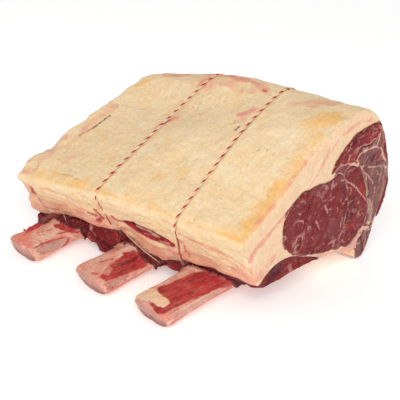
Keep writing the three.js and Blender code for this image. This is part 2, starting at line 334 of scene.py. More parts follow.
class Skin:
    """The skin of one piece while it is shaped. Marks are values from 0 to 1 that its material reads."""

    def __init__(self, name, size):
        self.name = name
        points, faces = SOLIDS[name]
        self.points, self.faces, self.hidden = make_fine(points, faces, pressed(name, points, faces), size)
        self.shown, covered = np.zeros((2, len(self.points)), bool)
        self.shown[self.faces[~self.hidden]] = True
        covered[self.faces[self.hidden]] = True
        self.rim = self.shown & covered
        edges, back = edge_table(self.faces[~self.hidden])
        lone = np.bincount(back, minlength=len(edges)) == 1
        both = np.vstack([edges, edges[:, ::-1]])
        self.links = both[~self.rim[both[:, 0]] | np.tile(lone, 2)]
        self.marks = {}
        self.look()

    def look(self):
        """Works out the outward directions afresh, from the faces in sight wherever there are any."""
        all_round = point_normals(self.points, self.faces)
        in_sight = point_normals(self.points, self.faces[~self.hidden])
        self.normals = np.where(self.shown[:, None], in_sight, all_round)

    def soften(self, rounds, strength):
        """Rounds facets and edges off. A rim slides only along itself, and hidden walls stay."""
        share = np.where(self.shown, strength, 0)[:, None]
        start, end = self.links.T
        count = np.maximum(np.bincount(start, minlength=len(self.points)), 1)[:, None]
        linked = np.isin(np.arange(len(self.points)), start)[:, None]
        for _ in range(rounds):
            mean = add_up(start, self.points[end], len(self.points)) / count
            self.points = np.where(linked, self.points + share * (mean - self.points), self.points)
        self.look()

    def push(self, amount):
        self.points = self.points + self.normals * np.asarray(amount)[:, None]

    def from_rim(self):
        """Distance of each shown point from the nearest rim, measured along the faces, up to RIM_REACH."""
        away = np.where(self.rim, 0.0, RIM_REACH)
        start, end = self.links.T
        step = np.linalg.norm(self.points[start] - self.points[end], axis=1)
        for _ in range(28):
            np.minimum.at(away, start, away[end] + step)
        return away

    def finish(self, material, slot, shreds=()):
        """Makes the piece from its skin and the shreds that hang on it."""
        strips = [shred(*where) for _, _, *where in shreds]
        points, faces = joined([(self.points, self.faces)] + strips)
        marks = {mark: np.concatenate([value] + [np.full(len(strip[0]), strength if mark == key else 0.0)
                                                 for (key, strength, *_), strip in zip(shreds, strips)])
                 for mark, value in self.marks.items()}
        piece = new_piece(self.name + "_skin", points, faces, marks, material)
        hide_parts(self.name)


def tube(rings, ends):
    """Closed faces round a row of rings of points, shut at both ends, or joined into a loop without ends."""
    count, sides, _ = rings.shape
    r, k = np.meshgrid(np.arange(count - 1 if ends is not None else count), np.arange(sides), indexing="ij")
    here, there, after = r * sides, (r + 1) % count * sides, (k + 1) % sides
    quads = np.stack([here + k, here + after, there + after, there + k], -1).reshape(-1, 4)
    faces = np.vstack([quads[:, [0, 1, 2]], quads[:, [0, 2, 3]]])
    points = rings.reshape(-1, 3)
    if ends is not None:
        k, base, first = np.arange(sides), (count - 1) * sides, len(points)
        points = np.vstack([points, ends])
        faces = np.vstack([faces, np.stack([np.full(sides, first), (k + 1) % sides, k], 1),
                           np.stack([np.full(sides, first + 1), base + k, base + (k + 1) % sides], 1)])
    return points, faces


SHRED_STEP = 0.7        # between the rings of a shred


def sideways(ahead, guide):
    """Two directions square to a path that runs ahead, the first as near to the guide as it can be."""
    side = unit(guide - (ahead @ guide)[:, None] * ahead)
    return side[:, None], np.cross(ahead, side)[:, None]


def shred(path, wide, thick, across):
    """A torn strip along a path, lying flat across the given way and thinning out to both ends."""
    corners = np.array(path, float)
    length = lengths_along(corners)
    t = np.linspace(0, 1, max(8, int(length[-1] / SHRED_STEP)))
    line = np.stack([np.interp(t * length[-1], length, corners[:, k]) for k in range(3)], 1)
    for _ in range(6):
        line[1:-1] = line[1:-1] * 0.5 + (line[2:] + line[:-2]) * 0.25
    side, up = sideways(unit(np.gradient(line, axis=0)), np.array(across, float))
    around = np.linspace(0, 2 * math.pi, 14, endpoint=False)[None, :, None]
    swell = np.sqrt(np.sin(math.pi * (0.03 + 0.94 * t)))[:, None, None]
    rings = swell * (wide / 2 * np.cos(around) * side + thick / 2 * np.sin(around) * up)
    uneven = 1 + 0.35 * lumps((line[:, None] + rings).reshape(-1, 3), 2.2, 71).reshape(len(t), -1, 1)
    return tube(line[:, None] + rings * uneven, line[[0, -1]])


TABLE_GAP = 0.0001      # metres: nothing sinks into the table


def new_piece(name, points, faces, marks, material):
    """A finished piece in the scene, its marks kept as attributes of its points."""
    mesh = bpy.data.meshes.new(name)
    rows = to_row(points)
    rows[:, 2] = np.maximum(rows[:, 2], TABLE_GAP)
    mesh.from_pydata(rows.tolist(), [], faces.tolist())
    mesh.shade_smooth()
    for key, value in marks.items():
        mesh.attributes.new(key, "FLOAT", "POINT").data.foreach_set("value", np.asarray(value, np.float32))
    mesh.materials.append(material)
    piece = bpy.data.objects.new(name, mesh)
    bpy.context.scene.collection.objects.link(piece)
    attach(piece, "root")
    return piece


# ---- Materials ----

def linear(hex_colour):
    """An sRGB hex colour as the linear RGBA that shaders work in."""
    parts = [int(hex_colour[i:i + 2], 16) / 255 for i in (1, 3, 5)]
    return tuple(p / 12.92 if p <= 0.04045 else ((p + 0.055) / 1.055) ** 2.4 for p in parts) + (1.0,)


def per_mm(size):
    """The scale of a pattern in Object coordinates whose features are this many millimetres across."""
    return 1000 / size


class Finish:
    """A material built up as a colour, layer on layer, with its own bumps and gloss."""

    def __init__(self, name, colour):
        self.material = bpy.data.materials.new(name)
        self.material.use_nodes = True
        self.material.node_tree.nodes.clear()
        self.place = self.add("TexCoord", {}, "Object")
        self.colour = linear(colour)

    def add(self, kind, settings, output=0):
        """Adds a node with its settings and links, and gives one of its outputs."""
        tree = self.material.node_tree
        node = tree.nodes.new("ShaderNode" + kind)
        for key, value in settings.items():
            if isinstance(value, bpy.types.NodeSocket):
                tree.links.new(value, node.inputs[key])
            elif isinstance(key, str) and hasattr(node, key):
                setattr(node, key, value)
            else:
                node.inputs[key].default_value = value
        return node.outputs[output] if node.outputs else None

    def grain(self, size, detail=3.0, rough=0.55, stretch=None, low=0.35, high=0.65):
        """A cloudy pattern from 0 to 1, its features size mm across, drawn out by stretch (x, y, z)."""
        place = self.add("Mapping", {"Scale": stretch, "Vector": self.place}) if stretch else self.place
        noise = self.add("TexNoise", {"Vector": place, "Scale": per_mm(size), "Detail": detail,
                                      "Roughness": rough})
        return self.add("MapRange", {0: noise, 1: low, 2: high})

    def hairlines(self, size, width=0.011):
        """Fine lines that wander size mm apart, where a cloudy pattern passes its middle: 1 on a line."""
        noise = self.add("TexNoise", {"Vector": self.place, "Scale": per_mm(size), "Detail": 6.0,
                                      "Roughness": 0.6})
        off = self.add("Math", {"operation": "SUBTRACT", 0: noise, 1: 0.5})
        away = self.add("Math", {"operation": "ABSOLUTE", 0: off})
        return self.add("MapRange", {0: away, 1: width, 2: width / 5})

    def broken(self, name, grain, depth):
        """A named mark whose soft parts break up along a grain pattern."""
        mark = self.add("Attribute", {"attribute_name": name}, "Fac")
        uneven = self.add("MapRange", {0: grain, 3: -depth / 2, 4: depth / 2})
        lifted = self.add("Math", {"operation": "ADD", "use_clamp": True, 0: mark, 1: uneven})
        kept = self.add("MapRange", {0: mark, 2: 0.3})
        return self.add("Math", {"operation": "MULTIPLY", 0: lifted, 1: kept})

    def over(self, colour, mask, *more):
        """Lays a colour over what is there, as far as the mask and whatever lessens it say."""
        for part in more:
            mask = self.add("Math", {"operation": "MULTIPLY", 0: mask, 1: part})
        self.colour = self.add("Mix", {"data_type": "RGBA", 0: mask, 6: self.colour, 7: linear(colour)}, 2)

    def stains(self, *stains):
        """Lays colours over broken marks, as (colour, mark, grain, depth, amount)."""
        for colour, name, grain, depth, amount in stains:
            self.over(colour, self.broken(name, grain, depth), amount)

    def close(self, bumps, roughness, shader):
        """bumps: (pattern, height in mm) from coarse to fine; roughness: (low, high, pattern)."""
        parts = {"Base Color": self.colour, **shader}
        for pattern, height in bumps:
            bump = {"Height": pattern, "Strength": 1.0, "Distance": height / 1000}
            if "Normal" in parts:
                bump["Normal"] = parts["Normal"]
            parts["Normal"] = self.add("Bump", bump)
        low, high, pattern = roughness
        parts["Roughness"] = self.add("MapRange", {0: pattern, 3: low, 4: high})
        self.add("OutputMaterial", {"Surface": self.add("BsdfPrincipled", parts)})
        return self.material


def beef_fat():
    """Hard outer fat, trimmed by knife: dry, waxy cream, clouded yellow and pink, pinker where it is cut."""
    fat = Finish("beef_fat_trimmed", "#F1D3A5")
    wide, cloud, fine = fat.grain(34, 2), fat.grain(11, 4), fat.grain(2.6, 3)
    fat.over("#F5CA8B", fat.grain(24, 3, low=0.42, high=0.72), 0.5)
    fat.over("#F3DBB4", cloud, 0.45)
    fat.over("#E4CF9F", fat.grain(5, 4, low=0.5, high=0.72), 0.5)
    fat.over("#F0BC8E", fat.grain(15, 4, low=0.53, high=0.74), 0.45)
    fat.over("#F7E3C4", fat.grain(3.4, 3, 0.6, low=0.52, high=0.72), 0.6)
    fat.over("#E3B98A", fat.grain(2.2, 3, 0.6, low=0.56, high=0.74), 0.4)
    fat.stains(("#F3B862", "yellow", cloud, 0.6, 0.92), ("#F4DDB6", "pale", cloud, 0.5, 0.7),
               ("#F1CBA6", "cut", cloud, 0.6, 0.85))
    cut = fat.add("Attribute", {"attribute_name": "cut"}, "Fac")
    fat.over("#F7DDBB", cut, fat.grain(6, 4, 0.6, (1, 1, 0.5), 0.5, 0.7), 0.7)
    # The "dark" mark on the fat is dark specks, with painted shade in a slit and two creases and a faint
    # painted shadow beside a speck.
    fat.stains(("#E9937F", "pink", cloud, 0.8, 0.85), ("#8F8381", "grey", fine, 0.4, 0.85),
               ("#B5363B", "red", fine, 0.6, 1), ("#6A4A40", "dark", fine, 0.4, 1))
    # Torn lean over the fat's lower edge, and the lean between the muscles where they are cut.
    torn, lean = (fat.add("Attribute", {"attribute_name": name}, "Fac") for name in ("torn", "lean"))
    fat.over("#6C161C", torn, 0.97)
    fat.over("#9A2A30", torn, fat.grain(4, 4, 0.6, (1, 1, 0.5), 0.52, 0.68), 0.7)
    fat.over("#3E0A12", torn, fat.grain(7, 3, 0.6, low=0.52, high=0.66), 0.7)
    fat.over("#7A1F21", lean)
    fat.over("#A8504A", lean, fat.grain(1.6, 3, 0.6, (0.8, 1, 1)), 0.4)
    fat.over("#4C141E", lean, fat.grain(3, 3, 0.6, low=0.5, high=0.66), 0.6)
    fat.stains(("#DDB09E", "web", fine, 0.4, 0.85), ("#E2C9C0", "silver", fine, 0.6, 0.9))
    # Hair-fine creases of the dried skin, drawn coarser than they are so that they show.
    fat.over("#CF9F70", fat.hairlines(14), 0.3)
    fat.over("#CF9F70", fat.hairlines(7), 0.22)
    # Fine greyish pores of the dried skin, about 1.5 mm, drawn out along the muscle.
    pores = fat.grain(1.5, 2, stretch=(0.55, 1, 1), low=0.6, high=0.76)
    fat.over("#C9A47E", pores, 0.24)
    shader = {"IOR": 1.46, "Specular IOR Level": 0.4, "Subsurface Weight": 0.12, "Subsurface Scale": 0.004,
              "Subsurface Radius": (1.0, 0.6, 0.35), "Coat Weight": 0.05, "Coat Roughness": 0.35}
    return fat.close([(wide, 0.6), (cloud, 0.5), (fine, 0.3), (pores, -0.12)], (0.4, 0.6, cloud), shader)


def raw_lean(name, base, stretch):
    """Raw lean, cut by knife: wet, dark red fibres in bundles about 1.6 mm thick, with pale marbling."""
    lean = Finish(name, base)
    bundles = lean.grain(1.6, 3, 0.6, stretch)
    fine = lean.grain(0.9, 2, 0.6)
    cloud = lean.grain(9, 3)
    lean.over("#611519", cloud, 0.45)
    lean.over("#902B2C", bundles, 0.45)
    lean.over("#AA5851", lean.grain(1.1, 2, low=0.61, high=0.71), 0.42)
    lean.over("#54131A", lean.grain(1.3, 2, 0.6, stretch, 0.6, 0.7), 0.6)
    lean.over("#BC7468", lean.hairlines(8, 0.024), lean.grain(6, 2, low=0.46, high=0.58), 0.6)
    # On the cut face the "grey" mark is a painted sheen, a grey veil where the wet lean would catch the light;
    # on the chine side it is streaks of silver skin.
    lean.stains(("#80504E", "grey", cloud, 0.6, 0.8), ("#B63432", "bright", cloud, 0.6, 0.9),
                ("#4C141E", "dark", fine, 0.5, 0.92), ("#D6A094", "marble", fine, 0.6, 0.88))
    shader = {"IOR": 1.4, "Specular IOR Level": 0.17, "Subsurface Weight": 0.06, "Subsurface Scale": 0.003,
              "Subsurface Radius": (1.0, 0.25, 0.2), "Coat Weight": 0.05, "Coat Roughness": 0.25,
              "Coat IOR": 1.33}
    return lean.close([(bundles, 0.22), (fine, 0.12)], (0.38, 0.6, cloud), shader)


def silver_skin():
    """Connective tissue, cut by knife: grey and pink strands with a faint pearly sheen."""
    sinew = Finish("connective_tissue_cut", "#783735")
    strands = sinew.grain(1.7, 4, 0.6, (1, 1, 0.3))
    cloud = sinew.grain(8, 3)
    sinew.over("#6B2A2E", cloud, 0.6)
    sinew.over("#9C675F", strands, 0.55)
    sinew.over("#B68C84", sinew.grain(4, 4, 0.65, (1, 1, 0.25), 0.52, 0.66), 0.5)
    sinew.over("#5A2227", sinew.grain(1.5, 3, 0.6, (1, 1, 0.3), 0.55, 0.68), 0.5)
    sinew.stains(("#821F24", "bright", strands, 0.6, 0.9), ("#451219", "dark", strands, 0.5, 0.9),
                 ("#E0BCAA", "marble", strands, 0.5, 0.9))
    shader = {"IOR": 1.42, "Specular IOR Level": 0.25, "Subsurface Weight": 0.05, "Subsurface Scale": 0.003,
              "Coat Weight": 0.1, "Coat Roughness": 0.25, "Coat IOR": 1.33}
    return sinew.close([(strands, 0.3)], (0.34, 0.55, cloud), shader)


def scraped_bone():
    """Rib bone scraped by knife: pink-cream bone, red meat left in streaks, grey moist membrane."""
    bone = Finish("rib_bone_scraped", "#E3A48F")
    streaks = bone.grain(3.0, 4, 0.6, (1, 0.3, 1))
    cloud, fine = bone.grain(9, 3), bone.grain(1.4, 3)
    bone.over("#EDC3A8", cloud, 0.55)
    bone.over("#D57E70", streaks, 0.55)
    bone.stains(("#EAC8B6", "pale", streaks, 0.8, 0.75), ("#C49A8C", "grey", cloud, 0.3, 0.95),
                ("#D0675E", "pink", fine, 0.4, 0.9), ("#E8806C", "orange", cloud, 0.6, 0.85))
    # Thin red vessels and white threads of the membrane wander over the bone; the white threads are also
    # painted highlights of the membrane.
    bone.over("#B5443E", bone.hairlines(11, 0.03), bone.grain(8, 2, low=0.48, high=0.6), 0.55)
    bone.over("#F6E0CF", bone.hairlines(6, 0.03), bone.grain(7, 2, low=0.5, high=0.62), 0.5)
    red, dark = bone.broken("red", streaks, 0.4), bone.broken("dark", streaks, 0.25)
    bone.over("#B43436", red)
    bone.over("#CA5850", red, bone.grain(5, 3, 0.6, (1, 0.35, 1), 0.48, 0.66), 0.6)
    bone.over("#6E141A", red, bone.grain(4, 3, 0.6, (1, 0.35, 1), 0.54, 0.68), 0.6)
    bone.over("#F3CBA8", bone.broken("cream", fine, 0.2))
    bone.over("#5E1118", dark)
    bone.over("#8E2A2C", dark, bone.grain(4, 4, 0.6, (1, 1, 0.5), 0.5, 0.68), 0.7)
    # Spongy bone at the sawn end: pores about 1.3 mm.
    end = bone.add("Attribute", {"attribute_name": "end"}, "Fac")
    bone.over("#C68877", end, 0.9)
    bone.over("#8C564E", bone.broken("sponge", fine, 0.5), 0.85)
    bone.over("#8A4B4B", end, bone.grain(1.3, 2, low=0.5, high=0.68), 0.3)
    shader = {"IOR": 1.45, "Specular IOR Level": 0.4, "Subsurface Weight": 0.08, "Subsurface Scale": 0.003,
              "Subsurface Radius": (1.0, 0.4, 0.3), "Coat Weight": 0.1, "Coat Roughness": 0.28,
              "Coat IOR": 1.33}
    return bone.close([(cloud, 0.4), (streaks, 0.3), (fine, 0.15)], (0.34, 0.55, cloud), shader)


def cotton_twine():
    """Cotton butcher's twine, laid from one red and two white strands: matt, fuzzy, stained by the meat."""
    twine = Finish("cotton_twine_laid", "#F0D2B0")
    fuzz = twine.grain(0.7, 2)
    twine.over("#EDC0A0", twine.grain(12, 3), 0.5)
    twine.over("#B31A1A", twine.add("Attribute", {"attribute_name": "red"}, "Fac"))
    twine.over("#A82C2C", twine.broken("soaked", fuzz, 0.5), 0.9)
    shader = {"IOR": 1.5, "Specular IOR Level": 0.15, "Sheen Weight": 0.08, "Sheen Roughness": 0.6}
    return twine.close([(fuzz, 0.1)], (0.75, 0.92, fuzz), shader)


def paper_sweep():
    """White paper: matt, with a barely visible fibre, and lit through a little."""
    paper = Finish("paper_sweep", "#FFFFFF")
    fibre = paper.grain(2, 2)
    paper.over("#FBFAF8", fibre, 0.5)
    shader = {"Specular IOR Level": 0.1, "Emission Color": (1, 1, 1, 1), "Emission Strength": 0.26}
    return paper.close([(fibre, 0.02)], (0.7, 0.8, fibre), shader)


# ---- The fat over and between the muscles ----

def by_face(skin):
    """How far each point faces up, to the ribs' side, to the larger or smaller cut face, or to the chine."""
    n = skin.normals
    return {"top": ramp(0.35, 0.65, n[:, 2]) * ramp(30, 45, skin.points[:, 2]),
            "front": ramp(0.35, 0.7, -n[:, 1]),
            "cut": ramp(0.55, 0.85, n[:, 0]) * ramp(FACE_X - 4, FACE_X - 1.5, skin.points[:, 0]),
            "end": ramp(0.5, 0.8, -n[:, 0]),
            "back": ramp(0.4, 0.7, n[:, 1])}


# Marks on the top, as (strength, width, [(x, section y), ...]).
TOP_YELLOW = [
    (0.42, 10, [(-84, -32), (-40, -34), (0, -35), (40, -34), (62, -33)]), (1.0, 13, [(73, -33), (75, -20)]),
    (0.8, 13, [(75, -20), (74, 2)]), (0.6, 12, [(75, 2), (74, 20), (70, 36)]),
    (0.8, 9, [(60, -34), (68, -34)]), (0.7, 8, [(-56, -33), (-46, -33)]), (0.45, 5, [(-96, -33), (-66, -33)]),
    (0.4, 6, [(-30, -36), (10, -36), (40, -33)]), (0.6, 7, [(-89, 66), (-86, 70)]), (0.45, 8, [(-4, -12)]),
    (0.45, 8, [(8, -6)]), (0.5, 14, [(62, 48), (70, 60)]),
]
TOP_PINK = [
    (0.8, 5, [(-78, 80), (-60, 83)]), (1.0, 5, [(-46, 84), (-30, 83), (-16, 80), (4, 77), (12, 71)]),
    (0.35, 13, [(-44, 79), (-20, 77), (0, 72)]), (0.5, 6, [(-90, -2), (-90, 18), (-89, 44)]),
    (0.75, 6, [(-41, 72), (-42, 78)]), (0.85, 6, [(-42, 33), (-37, 41)]), (0.55, 4, [(-34, -19)]),
    (0.8, 6, [(11, 47), (17, 53)]), (0.7, 5, [(13, 40), (16, 43)]), (0.4, 11, [(-78, -12)]),
    (0.6, 9, [(-100, -31), (-96, -29)]), (0.3, 10, [(40, 66), (60, 74)]), (0.35, 14, [(-100, -20), (-98, 0)]),
    (0.5, 3, [(77, -26), (78, 0), (78.5, 28)]),
]
TOP_RED = [
    (0.55, 2.2, [(-34, 83.5), (-22, 82)]), (0.9, 2.0, [(8.5, 72.5), (11, 72)]),
    (0.7, 2.4, [(-41, 34), (-39, 39)]), (0.7, 1.8, [(-35.5, -19.5), (-33, -18.5)]), (0.5, 1.6, [(50.5, 22)]),
    (0.5, 1.5, [(71, -3)]),
]
# Dark marks on the top: real dark specks and dots, with painted shade in a slit near the small end and along
# two creases by the front edge, and a faint painted shadow trailing from one speck.
TOP_DARK_AND_SHADE = [
    (0.95, 1.5, [(-86.5, 18), (-84.6, 33)]), (0.35, 2.2, [(-89.2, 10), (-86.5, 18)]),
    (0.8, 1.8, [(-89.5, 9.5)]), (0.85, 2.0, [(18, 33.2), (18.2, 36)]), (0.14, 4.0, [(18, 33), (14, 20)]),
    (0.35, 1.2, [(-75, -27), (-56, -28.5)]), (0.3, 1.1, [(-68, -23), (-60, -25)]), (0.45, 2.2, [(45, 21)]),
    (0.35, 1.6, [(40, -31.7)]), (0.35, 1.6, [(-19.6, -35)]),
]
# Marks on the ribs' side, as (strength, width, [(x, z), ...]).
FRONT_PINK = [
    (0.8, 2.4, [(-83, 59.5), (-70, 60), (-59, 58.5)]),
    (0.95, 2.4, [(37, 61), (51, 58), (65, 59), (80, 49.5)]), (0.8, 2.2, [(30, 64), (44, 61.5), (60, 61)]),
    (0.35, 14, [(-100, 55), (-100, 35)]), (0.6, 7, [(-75, 40), (-40, 44)]),
    (0.6, 9, [(20, 40), (60, 40), (78, 38)]), (0.7, 5, [(8, 46), (24, 44)]),
    (0.7, 3, [(28, 58), (31, 46), (31, 34)]), (0.6, 3, [(-36, 62), (-38, 52)]),
    (0.6, 2, [(54, 46), (70, 43)]),
]
FRONT_RED = [
    (1.0, 3.4, [(-41, 55), (-38, 47.5), (-43, 42)]), (0.9, 3.4, [(-48.5, 48.5), (-43, 47)]),
    (0.9, 1.3, [(-44, 60), (-41, 54)]), (0.95, 4.0, [(-97, 54), (-95.5, 47)]),
    (0.6, 2.2, [(-96, 42), (-90, 35)]), (0.5, 2.4, [(-86, 36), (-80, 37)]),
    (1.0, 2.4, [(-27, 54.6), (-23, 52.4), (-17, 51.8)]), (0.5, 1.6, [(60, 47), (68, 46)]),
    (0.5, 1.4, [(30, 52), (30.5, 40)]),
]
FRONT_GREY = [
    (0.9, 1.9, [(-18.5, 37), (-15, 35.5)]), (0.9, 1.6, [(-12.5, 34.6), (-9.5, 33.4)]),
    (0.8, 1.5, [(-11.5, 31.5), (-8, 30.5)]), (0.6, 1.5, [(-3, 30), (0, 28.5)]),
]
# Where the fat ends and the torn lean beneath it begins on the ribs' side, as (x, z) from face to face.
FAT_EDGE = [
    (-103, 24.5), (-96, 27), (-90, 28), (-82, 29.5), (-76, 30), (-68, 29.8), (-55, 31.2), (-44, 35),
    (-36, 36.5), (-24, 38.5), (-20, 34), (-8, 27), (2, 23.5), (8, 25), (11, 28.5), (24, 32), (32, 33),
    (43, 36.3), (64, 35.5), (74, 34), (80, 33),
]
# Marks on the cut fat of the larger face, as (strength, width, [(section y, z), ...]).
CUT_PINK = [
    (1.0, 4.5, [(-29, 60), (-28, 65), (-20, 69), (-12, 73)]), (0.8, 3.5, [(-12, 73), (4, 82.5), (16, 88.5)]),
    (0.6, 3, [(16, 89), (25.5, 94), (37, 105), (43, 115)]), (0.5, 4, [(43, 112), (50, 118)]),
    (0.5, 10, [(-18, 42), (-8, 50)]), (0.5, 3, [(57, 121), (72, 124), (86, 121)]),
    (0.8, 4, [(40, 24), (58, 18), (76, 12)]), (0.5, 8, [(-30, 50), (-24, 40)]),
    (0.6, 2, [(12, 41), (33, 31), (48, 25.5), (61, 21), (70, 20), (80, 28), (88, 24), (84, 12), (60, 15),
              (12, 41)]),
]
CUT_YELLOW = [
    (0.8, 6, [(-36, 72), (-23, 77), (-12, 82), (0, 89), (15, 98), (26, 108.5), (33, 119)]),
    (0.4, 8, [(33, 119), (50, 127)]), (0.5, 7, [(40, 98), (44, 104)]),
]


# The thin web under the muscles of that face, paler than the fat round it.
CUT_WEB = [
    (0.8, 0, [(12, 41), (33, 31), (48, 25.5), (61, 21), (70, 20), (80, 28), (88, 24), (84, 12), (76, 14),
              (60, 17), (44, 21), (24, 30), (12, 41)]),
]


# How long the edges of a skin's faces may be, in each part of it.
FAT_EDGES = {"top": 1.65, "front": 1.2, "rest": 2.4, "small end": 2.8, "cut": 0.75, "hidden": 30.0}
MUSCLE_EDGES = {"end": 1.5, "rest": 1.7, "hidden": 9.0}
SIDE_EDGES = {"cut": 0.7, "rest": 1.3, "hidden": 4.5}
RIB_EDGES = {"rest": 1.0, "hidden": 4.0}
CUT_DEPTH = 0.6         # a point this near the larger face belongs to it
CHINE_SWELL, END_SWELL, LIP_DROP = 2.6, 3.2, 4.2


def fat_edges(middle, hidden):
    x, z, s = middle[:, 0], middle[:, 2], section_y(middle)
    wanted = np.where((s < -20) & (z > 25), FAT_EDGES["front"], FAT_EDGES["rest"])
    wanted = np.where(z > 60, FAT_EDGES["top"], wanted)
    wanted = np.where(x < -91, FAT_EDGES["small end"], wanted)
    wanted = np.where(x > FACE_X - CUT_DEPTH, FAT_EDGES["cut"], wanted)
    return np.where(hidden, FAT_EDGES["hidden"], wanted)


def swell_fat(skin):
    """The fat swells along the chine and at the small end's front, and hangs as a lip over the middle rib."""
    x, z, s = skin.points[:, 0], skin.points[:, 2], section_y(skin.points)
    skin.push(CHINE_SWELL * bell(x, -64, 27) * ramp(15, 88, s) * ramp(60, 75, z))
    skin.points[:, 0] -= END_SWELL * ramp(-86, -100, x) * ramp(0, -22, s)
    lip = bell(x, -8, 12) * ramp(41, 34, z) * ramp(-12, -18, s)
    skin.points += LIP_DROP * lip[:, None] * np.array([0, -0.45, -0.9])
    skin.look()


def torn_edge(p, faces, rim):
    """Where torn lean covers the fat: under its edge on the ribs' side, and as a fringe beside the lean."""
    edge = np.array(FAT_EDGE, float)
    under = p[:, 2] - np.interp(p[:, 0], *edge.T) + 1.1 * lumps(p, 6, 51) + 0.8 * lumps(p, 2.4, 52)
    torn = ramp(0.6, -0.4, under) * (section_y(p) < -12) * (p[:, 0] < FACE_X - 0.8)
    fringe = ramp(1.3, 0.2, rim + 1.2 * lumps(p, 3, 57) + 0.6 * lumps(p, 1.5, 58))
    return np.maximum(torn, faces["front"] * (p[:, 2] > 38) * fringe)


def shape_fat():
    """The fat cap: dry and lumpy on top, creased towards the ribs, clean where cut, ragged at the small end."""
    skin = Skin("fat_cap", fat_edges)
    skin.soften(45, np.where(skin.points[:, 0] > FACE_X - CUT_DEPTH, 0.3, 0.55))
    faces = by_face(skin)
    top, front, cut, end = faces["top"], faces["front"], faces["cut"], faces["end"]
    swell_fat(skin)
    p, rim = skin.points, skin.from_rim()
    calm = np.where(skin.shown, ramp(0, 3, rim), 0)
    relief = 0.75 * lumps(p, 21, 1) + 0.5 * lumps(p, 8, 2) + 0.22 * lumps(p, 3, 3)
    ragged_end = ramp(-86, -97, p[:, 0]) * (1.3 * lumps(p, 7, 59) + 0.7 * lumps(p, 2.6, 60))
    skin.push(calm * ((1 - 0.75 * cut) * relief + ragged_end))
    p = skin.points
    x, s, z = p[:, 0], section_y(p), p[:, 2]
    on_top, on_front, on_cut = (np.stack(pair, 1) for pair in ((x, s), (x, z), (s, z)))
    torn = torn_edge(p, faces, rim)
    seams = seams_at(p)
    meat = cut * strokes(on_cut, p, [(1.0, 0, MEAT)], 0.45, 0.6)
    # On the smaller face the lean meets between the muscles too, with a pale seam midway.
    among = end * ramp(0.6, -0.6, distance_to(MEAT, on_cut) + 5 + 1.2 * lumps(p, 5, 39))
    seam = ramp(1.3, 1.9, rim + 0.5 * lumps(p, 3, 40))
    # Dark specks, with painted shade in a slit and creases and a faint painted shadow; the marks are also
    # pressed in.
    dark = top * strokes(on_top, p, TOP_DARK_AND_SHADE, 0.25)
    red, pink = strokes(on_front, p, FRONT_RED), strokes(on_front, p, FRONT_PINK)
    creases = np.maximum(strokes(on_front, p, FRONT_PINK[:3]), 0.8 * strokes(on_front, p, FRONT_RED[:3]))
    folds = front * (1.0 * lumps(p * (0.35, 1, 1), 6, 53) + 0.6 * lumps(p * (0.4, 1, 1), 2.6, 54))
    ragged = 0.8 * lumps(p * (1, 1, 0.5), 4, 55) + 0.4 * lumps(p, 1.8, 56) - 0.5
    skin.push(-1.0 * dark - 1.0 * front * creases + 0.3 * meat + calm * (folds * (1 - torn) + torn * ragged))
    low = ramp(64, 36, z + 5 * lumps(p, 12, 8))
    pale_front = ramp(0.0, 0.5, lumps(p * (0.4, 1, 1), 9, 10))
    by_rim = ramp(1.2, 0.3, rim) * np.maximum(cut, end * (1 - among))
    skin.marks = {
        "yellow": np.maximum(top * strokes(on_top, p, TOP_YELLOW, 0.6, 5),
                             cut * strokes(on_cut, p, CUT_YELLOW)),
        "pale": np.maximum(ramp(0.1, 0.8, lumps(p, 30, 9)) * top, 0.9 * front * pale_front),
        "pink": np.maximum.reduce([top * strokes(on_top, p, TOP_PINK, 0.6, 3.5), 0.8 * front * low,
                                   front * pink, 0.5 * faces["back"], cut * strokes(on_cut, p, CUT_PINK),
                                   0.35 * end]),
        "red": np.maximum(top * strokes(on_top, p, TOP_RED), front * red),
        "dark": dark,
        "grey": front * strokes(on_front, p, FRONT_GREY, 0.4),
        "cut": np.maximum(cut, 0.8 * end),
        "web": np.maximum.reduce([cut * meat * seams, cut * strokes(on_cut, p, CUT_WEB, 0.6, 2.5), by_rim,
                                  0.7 * among * seam]),
        "lean": np.maximum(meat * (1 - 0.92 * ramp(0.15, 0.6, seams)), among * (1 - seam)),
        "torn": torn,
        "silver": np.zeros(len(p)),
    }
    return skin


PRESS_HEIGHT = 68       # the twine is pressed in fully above this


def press_in(skin, paths):
    """Presses the twine into a skin, less where fat has closed over it on the ribs' side."""
    for path in paths:
        away = nearest_on(path, skin.points)
        deep = np.where(skin.points[:, 2] > PRESS_HEIGHT, 1, 0.35)
        skin.push(skin.shown * deep * (0.28 * bell(away, 2.6, 1.2) - 0.95 * bell(away, 0, 1.25)))


# ---- Muscles on the cut face, as (strength, width, [(section y, z), ...]) ----

